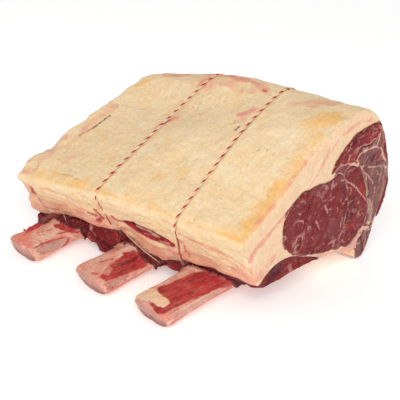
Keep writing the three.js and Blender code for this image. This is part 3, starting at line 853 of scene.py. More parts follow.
FACE_MARKS = {
    "eye_muscle": {
        "marble": [
            (1.0, 1.4, [(14.6, 77), (16.4, 75.6)]),
            (0.9, 0.94, [(9.8, 69.4), (12, 71.6), (16, 70.2), (19.4, 69), (20.8, 66)]),
            (1.0, 1.2, [(16.2, 57.4), (14, 54.2), (10.4, 52.4)]),
            (1.0, 1, [(1.6, 64.6), (3, 61.8), (1.2, 60.6)]), (1.0, 1.2, [(42, 71), (43.6, 66.4), (45, 62.8)]),
            (0.9, 1.1, [(33.6, 61.4), (35.6, 57), (37.4, 52.8)]),
            (0.9, 1.1, [(62.6, 51), (62, 46), (61.6, 42.6)]), (0.7, 1, [(56, 62), (56.8, 58)]),
            (0.7, 0.86, [(48, 76)]), (0.7, 0.86, [(33, 84), (34, 82)]), (0.7, 0.94, [(38, 80)]),
            (0.7, 0.86, [(27, 80)]), (0.6, 0.86, [(23.8, 76.2)]), (0.6, 0.86, [(12, 84.5), (15, 83.6)]),
            (0.6, 0.86, [(20.4, 85.6)]), (0.6, 0.86, [(32, 69)]),
            (0.8, 0.86, [(25.6, 60.4), (27.6, 60), (28.6, 58), (26.4, 57.6), (25.6, 59.4)]),
            (0.6, 0.86, [(45, 53)]), (0.6, 0.79, [(27.6, 52.6)]), (0.7, 0.86, [(24.8, 43.9)]),
            (0.7, 1.2, [(44.4, 36.6)]), (0.6, 0.86, [(18, 52)]), (0.6, 0.86, [(14.6, 46)]),
            (0.6, 0.75, [(35, 37), (41, 35.4)]), (0.45, 0.75, [(48, 56), (56, 52)]),
            (0.45, 1, [(21.5, 60), (22.5, 52), (19.5, 45)]), (0.55, 0.75, [(29.6, 50.4), (32, 46.6)]),
            (0.5, 1.2, [(33, 87), (38, 78), (44, 84)]), (0.5, 1.3, [(60, 35), (62, 40)]),
            (0.5, 1.2, [(53, 33), (54, 38)]),
        ],
        "dark": [
            (0.85, 1.3, [(29, 84), (25, 77), (22.4, 66), (20.6, 60), (19, 54), (18, 48), (15.6, 41)]),
            (0.4, 3, [(8, 40), (30, 34)]), (0.4, 5, [(60, 78), (64, 60), (66, 45)]),
        ],
        # The grey marks here are a painted sheen over the cut lean.
        "grey": [
            (0.5, 9, [(28, 88), (42, 88), (58, 84)]), (0.45, 10, [(52, 48), (54, 40)]),
            (0.2, 14, [(8, 66), (12, 80)]),
        ],
    },
    "inner_muscle": {
        "marble": [
            (0.8, 0.9, [(66, 74), (69, 72.5), (69.6, 69), (67.8, 66.6)]), (0.6, 0.83, [(70, 60)]),
            (0.6, 0.83, [(72, 50)]), (0.7, 0.98, [(66, 45), (66.4, 38)]), (0.6, 0.83, [(78, 80)]),
            (0.6, 0.83, [(64, 88), (72, 88)]),
        ],
        "dark": [(0.9, 5, [(72.6, 62), (74, 52), (70, 44)]), (0.7, 4, [(66, 60), (65, 48), (64, 40)])],
        "bright": [
            (0.8, 2.6, [(75, 60), (75.6, 56)]), (0.4, 6, [(80, 70), (84, 60)]),
            (0.4, 6, [(68, 38), (76, 40)]),
        ],
        # The grey marks here are a painted sheen over the cut lean.
        "grey": [(0.6, 5, [(60, 84), (66, 90)]), (0.4, 5, [(80, 82), (86, 74)])],
    },
    "cap_muscle": {
        "marble": [
            (0.6, 0.98, [(88, 108), (92, 109)]), (0.6, 0.9, [(72, 111), (78, 112)]),
            (0.5, 0.9, [(64, 108), (66, 106)]), (0.7, 2.4, [(94, 113), (98, 109), (100, 104)]),
            (0.5, 1.2, [(86, 114), (92, 111)]), (0.5, 0.9, [(56, 103), (62, 106)]),
        ],
        "dark": [(0.6, 4, [(66, 110), (80, 115)]), (0.5, 3, [(74, 101), (84, 100)])],
        "bright": [(0.45, 6, [(64, 97), (70, 100)]), (0.6, 5, [(84, 108), (94, 107)])],
    },
    "back_strap": {
        "marble": [(0.5, 0.9, [(82, 88), (86, 93)]), (0.4, 0.8, [(92, 84), (96, 90)])],
        "dark": [(0.9, 5, [(90.6, 87)]), (0.5, 6, [(84, 92), (92, 88)])],
        "bright": [(0.9, 8, [(96, 88), (102, 84)]), (0.6, 4, [(96, 95), (100, 90)])],
    },
    "feather_band": {
        "marble": [
            (0.5, 5, [(92, 50), (95, 38)]), (0.4, 1, [(98, 60), (96, 45)]), (0.4, 1, [(103, 70), (101, 55)]),
        ],
        "dark": [(0.6, 4, [(88, 66), (90, 55)]), (0.4, 5, [(100, 75), (100, 60)])],
    },
    "chine_foot": {
        "marble": [(0.7, 2.4, [(82, 24), (90, 25.5), (97, 23)]), (0.5, 0.9, [(92.5, 20), (92, 8)])],
        "dark": [
            (0.8, 2.6, [(87, 21), (89, 12), (91, 4)]), (0.6, 1.8, [(94, 22), (94, 12)]),
            (0.5, 1.2, [(84, 18), (87, 6)]),
        ],
        "bright": [(0.5, 2.5, [(91, 20), (91, 8)])],
    },
}


# All the lean on the larger face, as (section y, z), and the pale seams that run across its pieces.
MEAT = [
    (2.4, 82.6), (12, 89.2), (20.5, 93.2), (31, 90.6), (44.4, 89.4), (49.5, 88), (50, 91), (53, 95.5),
    (48.4, 96), (50.7, 102.8), (59, 109.5), (69.7, 116.2), (86.5, 117.4), (96.5, 116), (104, 112), (109, 100),
    (111.5, 77), (111, 51), (106, 40), (101.5, 30), (97.5, 22.5), (90, 22), (84, 25), (79, 20), (74, 17),
    (69.5, 22), (61, 22.5), (47.5, 26.9), (33, 32.8), (21.3, 36.6), (11.7, 43.4), (3, 53), (0.9, 61.8),
    (1.7, 71.4), (2.4, 82.6),
]
SEAMS = [
    (1.0, 1.5, [(48.5, 94.5), (55.5, 97), (62.3, 95.3), (69.3, 91.9), (75.1, 88.3)]),
    (0.95, 1.3, [(75.1, 88.3), (73.7, 94.5), (75.8, 97.7), (81.8, 98.2), (88.8, 97.3), (94.4, 96.4),
                 (99.6, 91.5), (103.6, 85.7), (108.7, 77)]),
    (0.85, 1.1, [(63.2, 98.2), (65.3, 102.3), (70.3, 104.1), (75.5, 104.5), (82.5, 103), (88, 102.7),
                 (93.3, 103.6), (94.2, 106.2)]),
    (0.6, 0.9, [(78, 86.4), (86.9, 82), (95.7, 78.5), (104.7, 75.1), (109.7, 71.3)]),
    (0.75, 1.0, [(78, 86.4), (83.2, 78.9), (88.1, 73.4), (95, 65)]),
    (0.6, 0.9, [(83.2, 78.9), (88, 64.9), (89.2, 56.8)]),
    (0.5, 0.9, [(105, 73.4), (108.6, 68.5), (106.5, 64), (106.9, 57.3), (104, 44)]),
    (0.9, 1.1, [(58, 84), (62.6, 82), (68.7, 76), (74.8, 70), (81.5, 61.4), (88.3, 52.8)]),
    (0.5, 3.6, [(89.1, 56.7), (92.6, 46.3), (96.5, 35.4), (95.1, 29.7)]),
    (0.9, 3.0, [(83.6, 28.5), (90, 26.5), (95, 25)]),
    (0.35, 0.9, [(60, 85), (64, 76), (65.4, 68), (68.2, 58.1), (71.2, 45.6), (66.8, 36.7), (66, 26)]),
    (0.5, 1.2, [(95, 97), (97.5, 106), (99, 114)]), (0.45, 0.9, [(86, 104), (88, 110), (87, 116)]),
]


def seams_at(points):
    """The seams on the larger face, drawn about a little so that none runs like a ruled line."""
    drawn = 0.8 * np.stack([lumps(points, 5, 27), lumps(points, 5, 28)], 1)
    return strokes(np.stack([section_y(points), points[:, 2]], 1) + drawn, points, SEAMS, 0.8, 0.9)


# How far each muscle has spread on the larger face, over the fat between, as (section y, z) round its edge.
SPREAD = {
    "eye_muscle": [
        (2.4, 82.6), (12, 89.2), (20.5, 93.2), (31, 91.5), (44, 89.6), (52, 87), (60, 85.5), (64, 78),
        (65.5, 70), (66.5, 60), (66, 50), (64, 41), (62.5, 32), (60.5, 24.5), (47.5, 27.5), (33, 33),
        (21, 37.5), (11.7, 43.5), (3.4, 53), (0.9, 62), (1.7, 71),
    ],
    "inner_muscle": [
        (51, 91), (61, 92.5), (70, 89.5), (77, 86.5), (83, 76), (86, 66), (87.5, 55), (88.5, 44), (87, 35),
        (82, 30), (78, 22), (74, 17.5), (68, 19), (64, 24), (63.5, 34), (66.5, 44), (68, 56), (67.5, 68),
        (66, 78), (61, 87),
    ],
    "cap_muscle": [
        (48.4, 96), (50.7, 102.8), (59, 109.5), (69.7, 116.2), (86.5, 117.6), (96.5, 116), (101, 111),
        (99, 106), (92, 103.6), (84, 102.4), (76.5, 99.5), (73.5, 94.5), (68, 93.8), (61, 94.6),
    ],
    "back_strap": [
        (76, 98.6), (84, 101), (92, 102), (98, 98), (101, 90), (99, 84), (94, 80.5), (88, 80.8), (80, 84),
        (76, 89.5), (74.6, 93.6),
    ],
    "feather_band": [
        (79, 84), (84, 81.6), (90, 79.6), (98, 82), (104.5, 84), (107.5, 70), (107, 55), (104.5, 42),
        (101, 30), (96, 27), (92, 31), (89.5, 40), (89, 50), (88, 62), (85, 74),
    ],
    "chine_foot": [(81, 24.5), (88, 26), (98, 23)],
    "back_muscle": [(150, 60), (150, 61), (151, 60)],       # only drawn towards the chine
}
SPREAD_FADES = 14       # in from the cut face and in from the edge
BED_FILL = 0.34         # hidden walls reach this much further, so that no gap shows between pieces


def rounded(outline):
    """A closed outline with its corners cut off three times over."""
    ends = np.array(outline, float)
    for _ in range(3):
        after = np.roll(ends, -1, 0)
        ends = np.stack([0.75 * ends + 0.25 * after, 0.25 * ends + 0.75 * after], 1).reshape(-1, 2)
    return ends


def closest_on(outline, at):
    """The nearest point to each on a closed outline."""
    best, found = np.full(len(at), np.inf), at.copy()
    for off, _ in stretches(zip(outline, np.roll(outline, -1, 0)), at):
        away = np.linalg.norm(off, axis=1)
        nearer = away < best
        found[nearer], best[nearer] = (at - off)[nearer], away[nearer]
    return found


def spread_on_face(skin, outline):
    """Draws the cut edge of a muscle outwards to its outline, never inwards, and what is near it along."""
    near_face = skin.points[:, 0] > FACE_X - 2
    rim = np.flatnonzero(skin.rim & near_face)
    at = np.stack([section_y(skin.points), skin.points[:, 2]], 1)
    out = unit(point_normals(skin.points, skin.faces[skin.hidden])[rim, 1:])
    gain = np.clip(((closest_on(rounded(outline), at[rim]) - at[rim]) * out).sum(axis=1), 0.5, 6)
    ragged = 0.8 * lumps(skin.points[rim], 7, 61) + 0.5 * lumps(skin.points[rim], 2.6, 62)
    step = np.zeros((len(skin.points), 2))
    step[rim] = out * (gain + ragged)[:, None]
    start, end = skin.links[(skin.rim & near_face)[skin.links[:, 0]]].T
    count = np.maximum(np.bincount(start, minlength=len(step)), 1)[:, None]
    for _ in range(8):
        step[rim] = 0.5 * step[rim] + 0.5 * (add_up(start, step[end], len(step)) / count)[rim]
    tree = KDTree(len(rim))
    for number, (y, z) in enumerate(at[rim]):
        tree.insert((y, z, 0), number)
    tree.balance()
    for i in np.flatnonzero((skin.points[:, 0] > FACE_X - SPREAD_FADES) & ~skin.rim):
        _, number, away = tree.find((*at[i], 0))
        if away < SPREAD_FADES:
            inward = 1 - (FACE_X - min(skin.points[i, 0], FACE_X)) / SPREAD_FADES
            step[i] = step[rim[number]] * (1 - away / SPREAD_FADES) ** 2 * max(inward, 0)
    skin.points[:, 1:] += step
    skin.look()


def shape_muscle(name, fine, marks, threaded):
    """A muscle or band that runs through the joint: it bulges a little where it is cut, and fills its bed."""
    def edges(middle, hidden):
        wanted = np.where(middle[:, 0] < SMALL_END_X, MUSCLE_EDGES["end"], MUSCLE_EDGES["rest"])
        wanted = np.where(middle[:, 0] > FACE_X - CUT_DEPTH, fine, wanted)
        return np.where(hidden, MUSCLE_EDGES["hidden"], wanted)

    skin = Skin(name, edges)
    skin.soften(40, np.where(skin.points[:, 0] > FACE_X - CUT_DEPTH, 0.4, 0.45))
    skin.push(np.where(skin.shown & ~skin.rim, 0, BED_FILL))
    spread_on_face(skin, SPREAD[name])
    p, rim, faces = skin.points, skin.from_rim(), by_face(skin)
    ends = np.maximum(faces["cut"], faces["end"])
    relief = 0.45 * ends + 0.35 * lumps(p, 5, 12) + 0.18 * lumps(p, 1.8, 13)
    skin.push(skin.shown * (0.3 * ends + ramp(0, 2.6, rim) * relief))
    p = skin.points
    at = np.stack([section_y(p), p[:, 2]], 1)
    # Dark and bright marks on the cut face, and the grey marks, which there are a painted sheen.
    drawn = {key: faces["cut"] * strokes(at, p, marks.get(key, []), 0.35)
             for key in ("dark", "bright", "grey")}
    own = strokes(at + 0.5 * lumps(p, 3, 29)[:, None], p, marks.get("marble", []), 0.6, 0.6)
    # Fat pressed between the fibres shows as scattered flecks, also where no single one is named.
    flecks = ramp(0.52, 0.66, lumps(p * (1, 0.75, 1), 2.6, 21)) * ramp(-0.2, 0.3, lumps(p, 11, 22))
    threads = ramp(0.13, 0.03, np.abs(lumps(p, 4.5, 37))) * ramp(0.0, 0.4, lumps(p, 9, 38))
    drawn["marble"] = np.maximum.reduce([0.85 * faces["cut"] * own, faces["cut"] * seams_at(p),
                                         0.6 * flecks * ends, threaded * threads * ends])
    skin.push(ends * (0.22 * drawn["marble"] - 0.55 * drawn["dark"]))
    # Where a muscle faces the chine it keeps streaks of its silver skin and fat, drawn out along the joint.
    back = skin.shown * (1 - ends) * faces["back"]
    for key, strength, low, high, along, size, seed in (("marble", 0.7, 0.3, 0.75, 0.14, 3.6, 23),
                                                        ("grey", 0.75, -0.2, 0.9, 0.25, 14, 24),
                                                        ("dark", 0.8, 0.1, 0.9, 0.2, 8, 25)):
        streaks = ramp(low, high, lumps(p * (along, 1, 1), size, seed))
        drawn[key] = np.maximum(drawn[key], strength * back * streaks)
    skin.push(0.6 * back * ramp(0, 3, rim) * lumps(p * (0.3, 1, 1), 8, 26))
    skin.marks = drawn
    return skin


# ---- Rib bones ----

# The middle of each rib's tip, as (x, y).
RIB_TIPS = {"rib_bone_1": (-74, -106), "rib_bone_2": (-12, -93), "rib_bone_3": (41.5, -84.5)}
# Marks on a rib, as (strength, width, [(mm from its middle round its top and flank, mm from its tip), ...]).
RIB_MARKS = {
    "rib_bone_1": {
        "orange": [
            (0.9, 0, [(-17, 8), (-10.7, 7.5), (-5.4, 12.7), (0.3, 6.3), (7.5, 4.8), (10.5, 0.7), (8, -2),
                      (-18, -2), (-17, 8)]), (0.5, 5, [(-6, 16), (-4, 24)]),
        ],
        "red": [
            (1.0, 0, [(-22, 6), (-12, 8), (-11, 15), (-9.5, 22), (-9, 30), (-10, 40), (-24, 40), (-22, 6)]),
            (1.0, 0, [(-4, 30), (7.1, 39), (14.7, 42), (15.5, 36), (8.2, 29.5), (0, 26.5), (-4, 30)]),
            (0.9, 1.5, [(10.1, 25.6), (12, 33.4), (18, 39.8)]), (0.5, 1.3, [(-1.5, 13.7), (2.3, 25)]),
            (0.8, 1.2, [(12.6, 3), (11.5, 10), (14, 20), (16.7, 29.5), (20, 31.5), (24, 25)]),
        ],
        "pale": [
            (0.8, 0, [(-2.1, 11.7), (-5.8, 27.1), (-1.1, 34.1), (5.7, 31.5), (11.5, 24), (9.1, 9.9),
                      (-2.1, 11.7)]),
        ],
        "grey": [
            (1.0, 0, [(13.4, 4.2), (12.5, 10), (15, 20), (17.5, 28.7), (19.9, 30), (22.4, 23.9), (22.4, 13.4),
                      (20, 5.2), (16.2, 2.8), (13.4, 4.2)]),
        ],
        "dark": [
            (1.0, 0, [(-26, 27), (-13.4, 30.5), (-3.4, 33), (4, 34.6), (9.4, 36.6), (19, 41.4), (32, 44),
                      (32, 80), (-26, 80), (-26, 27)]),
        ],
    },
    "rib_bone_2": {
        "orange": [(0.5, 4, [(-15, 1), (-8, 3)]), (0.7, 3, [(4, 3), (10, 4)])],
        "red": [
            (1.0, 0, [(8.9, 3), (2, 16), (1.5, 25.2), (-2, 32), (1, 40), (16, 41), (22, 39), (19.5, 29),
                      (17.5, 16.8), (15, 4), (8.9, 3)]), (0.6, 2, [(-6, 14), (-3, 22)]),
            (0.7, 2.2, [(2, 1.5), (4.5, 3)]),
        ],
        "cream": [
            (0.35, 0, [(2.6, 10), (2.6, 15.6), (7.3, 15.4), (10.4, 9), (6.9, 5.8), (2.6, 10)]),
            (0.3, 2, [(5.5, 19), (8, 21.5)]),
        ],
        "pale": [
            (0.9, 0, [(-6.2, 28), (-7, 39.4), (1, 42), (7.4, 34.1), (1.5, 26), (-6.2, 28)]),
            (0.7, 5, [(-10, 6), (-9, 22)]),
        ],
        "grey": [
            (1.0, 0, [(17.5, 2.1), (18.5, 9), (19, 19.3), (21, 22), (23.5, 11), (22.5, 1.8), (17.5, 2.1)]),
        ],
        "pink": [(0.8, 1.3, [(17, 1), (17.6, 10), (18, 24), (19, 34)]), (0.7, 1.6, [(24, 2), (25, 40)])],
        "dark": [
            (1.0, 0, [(-26, 36), (-11.3, 39), (-5, 41), (1, 41), (5.1, 38.5), (11.4, 37.1), (18, 37.7),
                      (24, 43), (32, 47), (32, 80), (-26, 80), (-26, 36)]),
            (0.7, 2.4, [(7, 20), (10, 30), (9, 37)]), (0.5, 1.6, [(13, 12), (15, 30)]),
        ],
    },
    "rib_bone_3": {
        "orange": [(0.9, 0, [(11, -2), (12.5, 3), (16, 5.5), (21, 3), (19, -2), (11, -2)])],
        "red": [
            (1.0, 0, [(-7.5, 12), (-12, 16.9), (-7, 36.3), (-6, 44), (2, 60), (24, 60), (20, 47.7),
                      (17, 21.8), (15, 9.9), (14.7, 3), (11.5, -1), (-1.1, -0.5), (-1, 6), (8, 4),
                      (-7.5, 12)]),
        ],
        "cream": [
            (1.0, 0, [(-19, 10), (-12.8, 14), (-7.1, 13.5), (0.3, 12), (6, 13.2), (9.2, 11), (8.8, 5.6),
                      (4.4, 3.2), (-1.1, 2), (-8.5, -1), (-19, -2), (-19, 10)]),
        ],
        "pale": [(0.8, 4, [(-13.5, 20), (-12, 42)]), (0.7, 3, [(18.5, 12), (20, 46)])],
        "pink": [
            (0.8, 1.2, [(16.6, 4), (17.6, 20), (19.6, 48)]), (0.8, 2, [(25, 4), (25, 60)]),
            (0.6, 1.2, [(-11, 16), (-12, 30)]),
        ],
        "grey": [(0.7, 2.5, [(21.5, 8), (22, 50)])],
        "dark": [
            (1.0, 0, [(-26, 40), (-12, 46), (0.5, 50), (11.9, 53.4), (22, 60), (32, 66), (32, 95), (-26, 95),
                      (-26, 40)]), (0.5, 1.6, [(0, 30), (4, 44)]), (0.4, 1.2, [(-7, 14), (-11, 17)]),
        ],
    },
}
MEAT_OVER_RIB = 1.9     # the torn meat lies this thick on the root of a rib
TIP_SLANT = 16          # the saw cut leans back under the tip over this length
RIB_HALF_WIDTH = 17
# How soft the edges of each kind of mark on a rib are.
RIB_SOFTNESS = {"cream": 0.9, "dark": 1.0, "red": 1.9, "grey": 1.4, "orange": 4, "pink": 1.2, "pale": 5}


def shape_rib(name):
    """A rib sawn off aslant and scraped, with a little meat left along it and torn meat over its root."""
    skin = Skin(name, lambda middle, hidden: np.where(hidden, RIB_EDGES["hidden"], RIB_EDGES["rest"]))
    x, tip = RIB_TIPS[name]
    near_tip = skin.points[skin.points[:, 1] < tip + 6, 2]
    low, high = near_tip.min(), near_tip.max()
    up = np.clip((skin.points[:, 2] - low) / (high - low), 0, 1)
    bow = 1 - np.clip((skin.points[:, 0] - x) / RIB_HALF_WIDTH, -1, 1) ** 2
    skin.points[:, 1] += ramp(TIP_SLANT, 0, skin.points[:, 1] - tip) * (2.2 - 3.4 * up - 2.8 * bow)
    skin.look()
    skin.soften(20, np.full(len(skin.points), 0.5))
    p, n = skin.points, skin.normals
    side, along, up = p[:, 0] - x, p[:, 1] - tip, (p[:, 2] - low) / (high - low)
    end = ramp(0.6, 0.8, -n[:, 1]) * ramp(12, 8, along)
    sight = ramp(-0.5, -0.2, n[:, 2]) * (1 - end)
    across = np.stack([side + 0.9 * np.sign(side) * np.maximum(high - p[:, 2], 0), along], 1)
    marks = {key: sight * strokes(across, p, RIB_MARKS[name].get(key, []), 0.45, soft)
             for key, soft in RIB_SOFTNESS.items()}
    calm = skin.shown * ramp(0, 3, skin.from_rim())
    lumpy = 1 + 0.7 * lumps(p, 3, 33) + 0.5 * lumps(p, 1.6, 34)
    relief = 0.5 * lumps(p * (1, 0.4, 1), 9, 31) + 0.35 * lumps(p * (1, 0.5, 1), 3.5, 32)
    relief += 0.4 * marks["cream"] + 0.3 * end - 1.2 * marks["grey"] - 0.35 * marks["red"]
    skin.push(calm * relief + MEAT_OVER_RIB * marks["dark"] * lumpy * (along > 24))
    ring = ramp(0.6, 0.95, (side / 16.5) ** 2 + (2 * up - 1) ** 2 + 0.2 * lumps(p, 4, 36))
    sponge = ramp(0.62, 0.3, up + 0.15 * lumps(p, 3, 35))
    skin.marks = {**marks, "end": end * (1 - 0.6 * ring), "sponge": end * sponge}
    return skin


# ---- Lean on the sides ----

LENS_BRIGHT = [(1.0, 10, [(-14, 49), (-6, 44), (4, 43), (12, 45), (20, 51)])]
# Pale marks on the lens: mostly painted highlights where its wet lean would catch the light, with a little pale
# marbling.
LENS_PALE_AND_HIGHLIGHTS = [
    (0.95, 3.2, [(-6, 54), (4, 53.6), (9, 52)]), (0.9, 3.6, [(0, 42.5), (9, 43.6)]),
    (0.7, 2.4, [(11, 46), (17, 48)]), (0.5, 1.2, [(-14, 50), (-4, 47)]), (0.5, 1.0, [(-2, 49), (10, 51)]),
]


def shape_side(name):
    """Lean that shows its side: stringy along the ribs, torn and wet."""
    def edges(middle, hidden):
        shown = np.where(middle[:, 0] > FACE_X - CUT_DEPTH, SIDE_EDGES["cut"], SIDE_EDGES["rest"])
        return np.where(hidden, SIDE_EDGES["hidden"], shown)

    skin = Skin(name, edges)
    skin.soften(20, np.full(len(skin.points), 0.45))
    p, rim = skin.points, skin.from_rim()
    skin.push(np.where(skin.shown & ~skin.rim, 0, BED_FILL))
    stringy = 1.3 * lumps(p * (1, 0.4, 1), 9, 41) + 0.7 * lumps(p * (1, 0.5, 1), 3.6, 42)
    skin.push(skin.shown * ramp(0, 2.5, rim) * (stringy + 0.25 * lumps(p, 1.7, 43)))
    p = skin.points
    lens = name == "side_lean"
    bright = lens * strokes(p[:, [0, 2]], p, LENS_BRIGHT)
    # The lens's pale marks, mostly painted highlights, go into the marble mark.
    pale = lens * strokes(p[:, [0, 2]], p, LENS_PALE_AND_HIGHLIGHTS, 0.45, 0.8)
    skin.marks = {"marble": np.maximum(0.8 * ramp(0.5, 0.75, lumps(p * (1, 0.35, 0.7), 4, 44)), pale),
                  "dark": ramp(0.1, 0.6, lumps(p, 9, 45)) * 0.8 * (1 - bright),
                  "bright": np.maximum(ramp(0.2, 0.7, lumps(p, 12, 46)) * 0.7, bright),
                  "grey": np.zeros(len(p))}
    return skin


# ---- Twine ----

TWINE_RADIUS = 0.64
TWINE_STEP = 0.45
LAY = 7.3               # one turn of the three strands
TWINES = [
    {"name": "twine_1", "x": -35.5, "slant": 0.02, "lean": -0.08, "lifted": -0.1, "thin": 0.55},
    {"name": "twine_2", "x": 29.0, "slant": 0.075, "lean": 0.1, "lifted": 0.15, "thin": 0.85},
]
SHOULDER_Y, TWINE_SHOULDER = -37, 75    # a loop leans below the shoulder and slants across the top behind it
LOOP_BAND = 1.6         # half the width of the strip of the joint that a loop is pulled tight round
DROP = 12               # a loop is laid down on the skins from this far out
CORD_GUIDE = np.array([1.0, 0.1, 0.05])
KNOT_HEIGHT, KNOT_SIZE = 70, 0.96


def nearest_on(path, points):
    """Distance from each point to a closed path of close points."""
    best = np.full(len(points), np.inf)
    near = (points[:, 0] > path[:, 0].min() - 9) & (points[:, 0] < path[:, 0].max() + 9)
    chosen = np.flatnonzero(near)
    for start in range(0, len(chosen), 4000):
        some = chosen[start:start + 4000]
        square = ((points[some][:, None, :] - path[None, ::3, :]) ** 2).sum(axis=2)
        best[some] = np.sqrt(square.min(axis=1))
    return best


def drift(twine, y, z):
    """How far a loop runs out of its own section at each place."""
    return twine["lean"] * np.maximum(0, TWINE_SHOULDER - z) + twine["slant"] * (y - SHOULDER_Y)


def half_hull(rows):
    """One side of the outline that a string would take round these points, which are sorted."""
    chain = []
    for row in rows:
        while len(chain) > 1 and np.cross(chain[-1] - chain[-2], row - chain[-2]) <= 0:
            chain.pop()
        chain.append(row)
    return chain[:-1]


def taut_loop(twine, skins):
    """The path of a loop pulled tight round the joint, then laid down on what is under it."""
    points = np.vstack([skin.points[skin.shown] for skin in skins])
    tree = search_tree([(skin.points, skin.faces) for skin in skins])
    section = np.stack([section_y(points), points[:, 2]], 1)
    flat = section[np.abs(points[:, 0] - twine["x"] + drift(twine, *section.T)) < LOOP_BAND]
    flat = flat[np.lexsort((flat[:, 1], flat[:, 0]))]
    hull = np.array(half_hull(flat) + half_hull(flat[::-1]))
    closed = np.vstack([hull, hull[:1]])
    length = lengths_along(closed)
    at = np.linspace(0, length[-1], int(length[-1] / TWINE_STEP), endpoint=False)
    loop = eased(np.stack([np.interp(at, length, closed[:, k]) for k in range(2)], 1), 200)
    ahead = unit(np.roll(loop, -1, 0) - np.roll(loop, 1, 0))
    x = twine["x"] - drift(twine, *loop.T)
    path = np.stack([x, loop[:, 0] - SKEW * (FACE_X - x), loop[:, 1]], 1)
    outward = np.stack([np.zeros(len(x)), ahead[:, 1], -ahead[:, 0]], 1)
    rise = np.full(len(x), 0.12)
    for i, (start, out) in enumerate(zip(path + outward * DROP, outward)):
        away = tree.ray_cast(Vector(start), -Vector(out), 26)[3]
        if away is not None:
            rise[i] = DROP - away
    front = (section_y(path) < -10) & (path[:, 2] < TWINE_SHOULDER - 6)
    sunk = -0.6 * bell(path[:, 2], 63, 7)
    rise = np.where(front, rise + twine["lifted"] + sunk, np.maximum(rise, -0.3) + 0.15)
    return path + outward * eased(rise, 240)[:, None]


def laid_cord(path, closed, thin):
    """Three strands twisted along a path, thin on the ribs' side: points, faces, and which are red."""
    ahead = np.roll(path, -1, 0) - np.roll(path, 1, 0) if closed else np.gradient(path, axis=0)
    side, up = sideways(unit(ahead), CORD_GUIDE)
    turns = max(1, round(len(path) * np.linalg.norm(np.diff(path, axis=0), axis=1).mean() / LAY))
    around = np.linspace(0, 2 * math.pi, 18, endpoint=False)
    lobe = around - (np.arange(len(path)) / len(path) * turns * 2 * math.pi)[:, None]
    width = thin + (1 - thin) * ramp(58, 72, path[:, 2] + 200 * (section_y(path) > 0))
    reach = TWINE_RADIUS * width[:, None] * (0.86 + 0.2 * np.abs(np.cos(1.5 * lobe)))
    out = np.cos(around)[None, :, None] * side + np.sin(around)[None, :, None] * up
    red = ramp(0.28, 0.42, np.cos(lobe)).ravel()
    points, faces = tube(path[:, None] + reach[..., None] * out, None if closed else path[[0, -1]])
    return points, faces, np.concatenate([red, np.zeros(len(points) - len(red))])


def knot_paths(path):
    """A small overhand knot on the chine side, and its two cut ends."""
    back = np.flatnonzero(path[:, 1] > path[:, 1].mean())
    at = back[np.argmin(np.abs(path[back, 2] - KNOT_HEIGHT))]
    along = unit(path[(at + 3) % len(path)] - path[at - 3])
    out = np.array([0.0, 1.0, 0.25])
    out = unit(out - out @ along * along)
    side = np.cross(along, out)
    t = np.linspace(0, 2 * math.pi, 90, endpoint=False)[:, None]
    wind = (np.sin(t) + 2 * np.sin(2 * t)) * side + (np.cos(t) - 2 * np.cos(2 * t)) * along
    knot = path[at] + out * 1.1 + KNOT_SIZE * wind - 0.9 * np.sin(3 * t) * out
    ends = []
    for hand, drop in ((1, 15), (-1, 11)):
        s = np.linspace(0, 1, 36)[:, None]
        fall = path[at] + out * (1.4 + 1.2 * np.sin(3 * s)) + side * hand * (1 + 6 * s ** 0.7)
        ends.append(fall + np.array([0, 0, -1.0]) * drop * s ** 1.4)
    return knot, ends


def make_twine(twine, path):
    """A loop of twine with its knot and the two cut ends, as one piece."""
    knot, ends = knot_paths(path)
    cords = [laid_cord(path, True, twine["thin"]), laid_cord(knot, True, 1)]
    cords += [laid_cord(end, False, 1) for end in ends]
    points, faces = joined([cord[:2] for cord in cords])
    marks = {"red": np.concatenate([cord[2] for cord in cords]),
             "soaked": ramp(70, 60, points[:, 2]) * (section_y(points) < 0)}
    piece = new_piece(twine["name"] + "_cord", points, faces, marks, TWINE)
    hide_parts(twine["name"])


# ---- Shreds, as (mark, strength, path, width, thickness, the way they lie across) in joint millimetres ----

FAT_SHREDS = [
    ("grey", 0.35, [(-26, -51.5, 39.5), (-20.6, -51.4, 36.7), (-11.4, -51.6, 34.9), (0, -52, 33.9),
                    (6.3, -51, 32.3), (11.5, -48.6, 29)], 0.75, 0.6, (0.2, 0.6, 0.8)),
    ("silver", 0.4, [(-76, -69, 42), (-73.4, -69, 38), (-71.4, -69.2, 34),
                     (-70, -69.1, 32)], 0.4, 0.35, (1, 0, 0)),
]
RIB_SHREDS = {
    "rib_bone_1": [
        ("red", 1.0, [(-81.5, -98, 29.4), (-82, -92, 30.2), (-82.5, -86, 30.4),
                      (-82.8, -81, 30.6)], 4.6, 2.6, (1, 0, 0)),
        ("dark", 0.9, [(-83, -86, 30.6), (-83, -80, 31.2), (-84, -74, 31.4),
                       (-84, -68, 31.2)], 5.5, 3.4, (1, 0, 0)),
        ("red", 0.8, [(-80, -96, 30), (-83.5, -97, 31), (-84.4, -97.4, 31.4)], 2.2, 1.2, (0, 1, 0)),
    ],
}
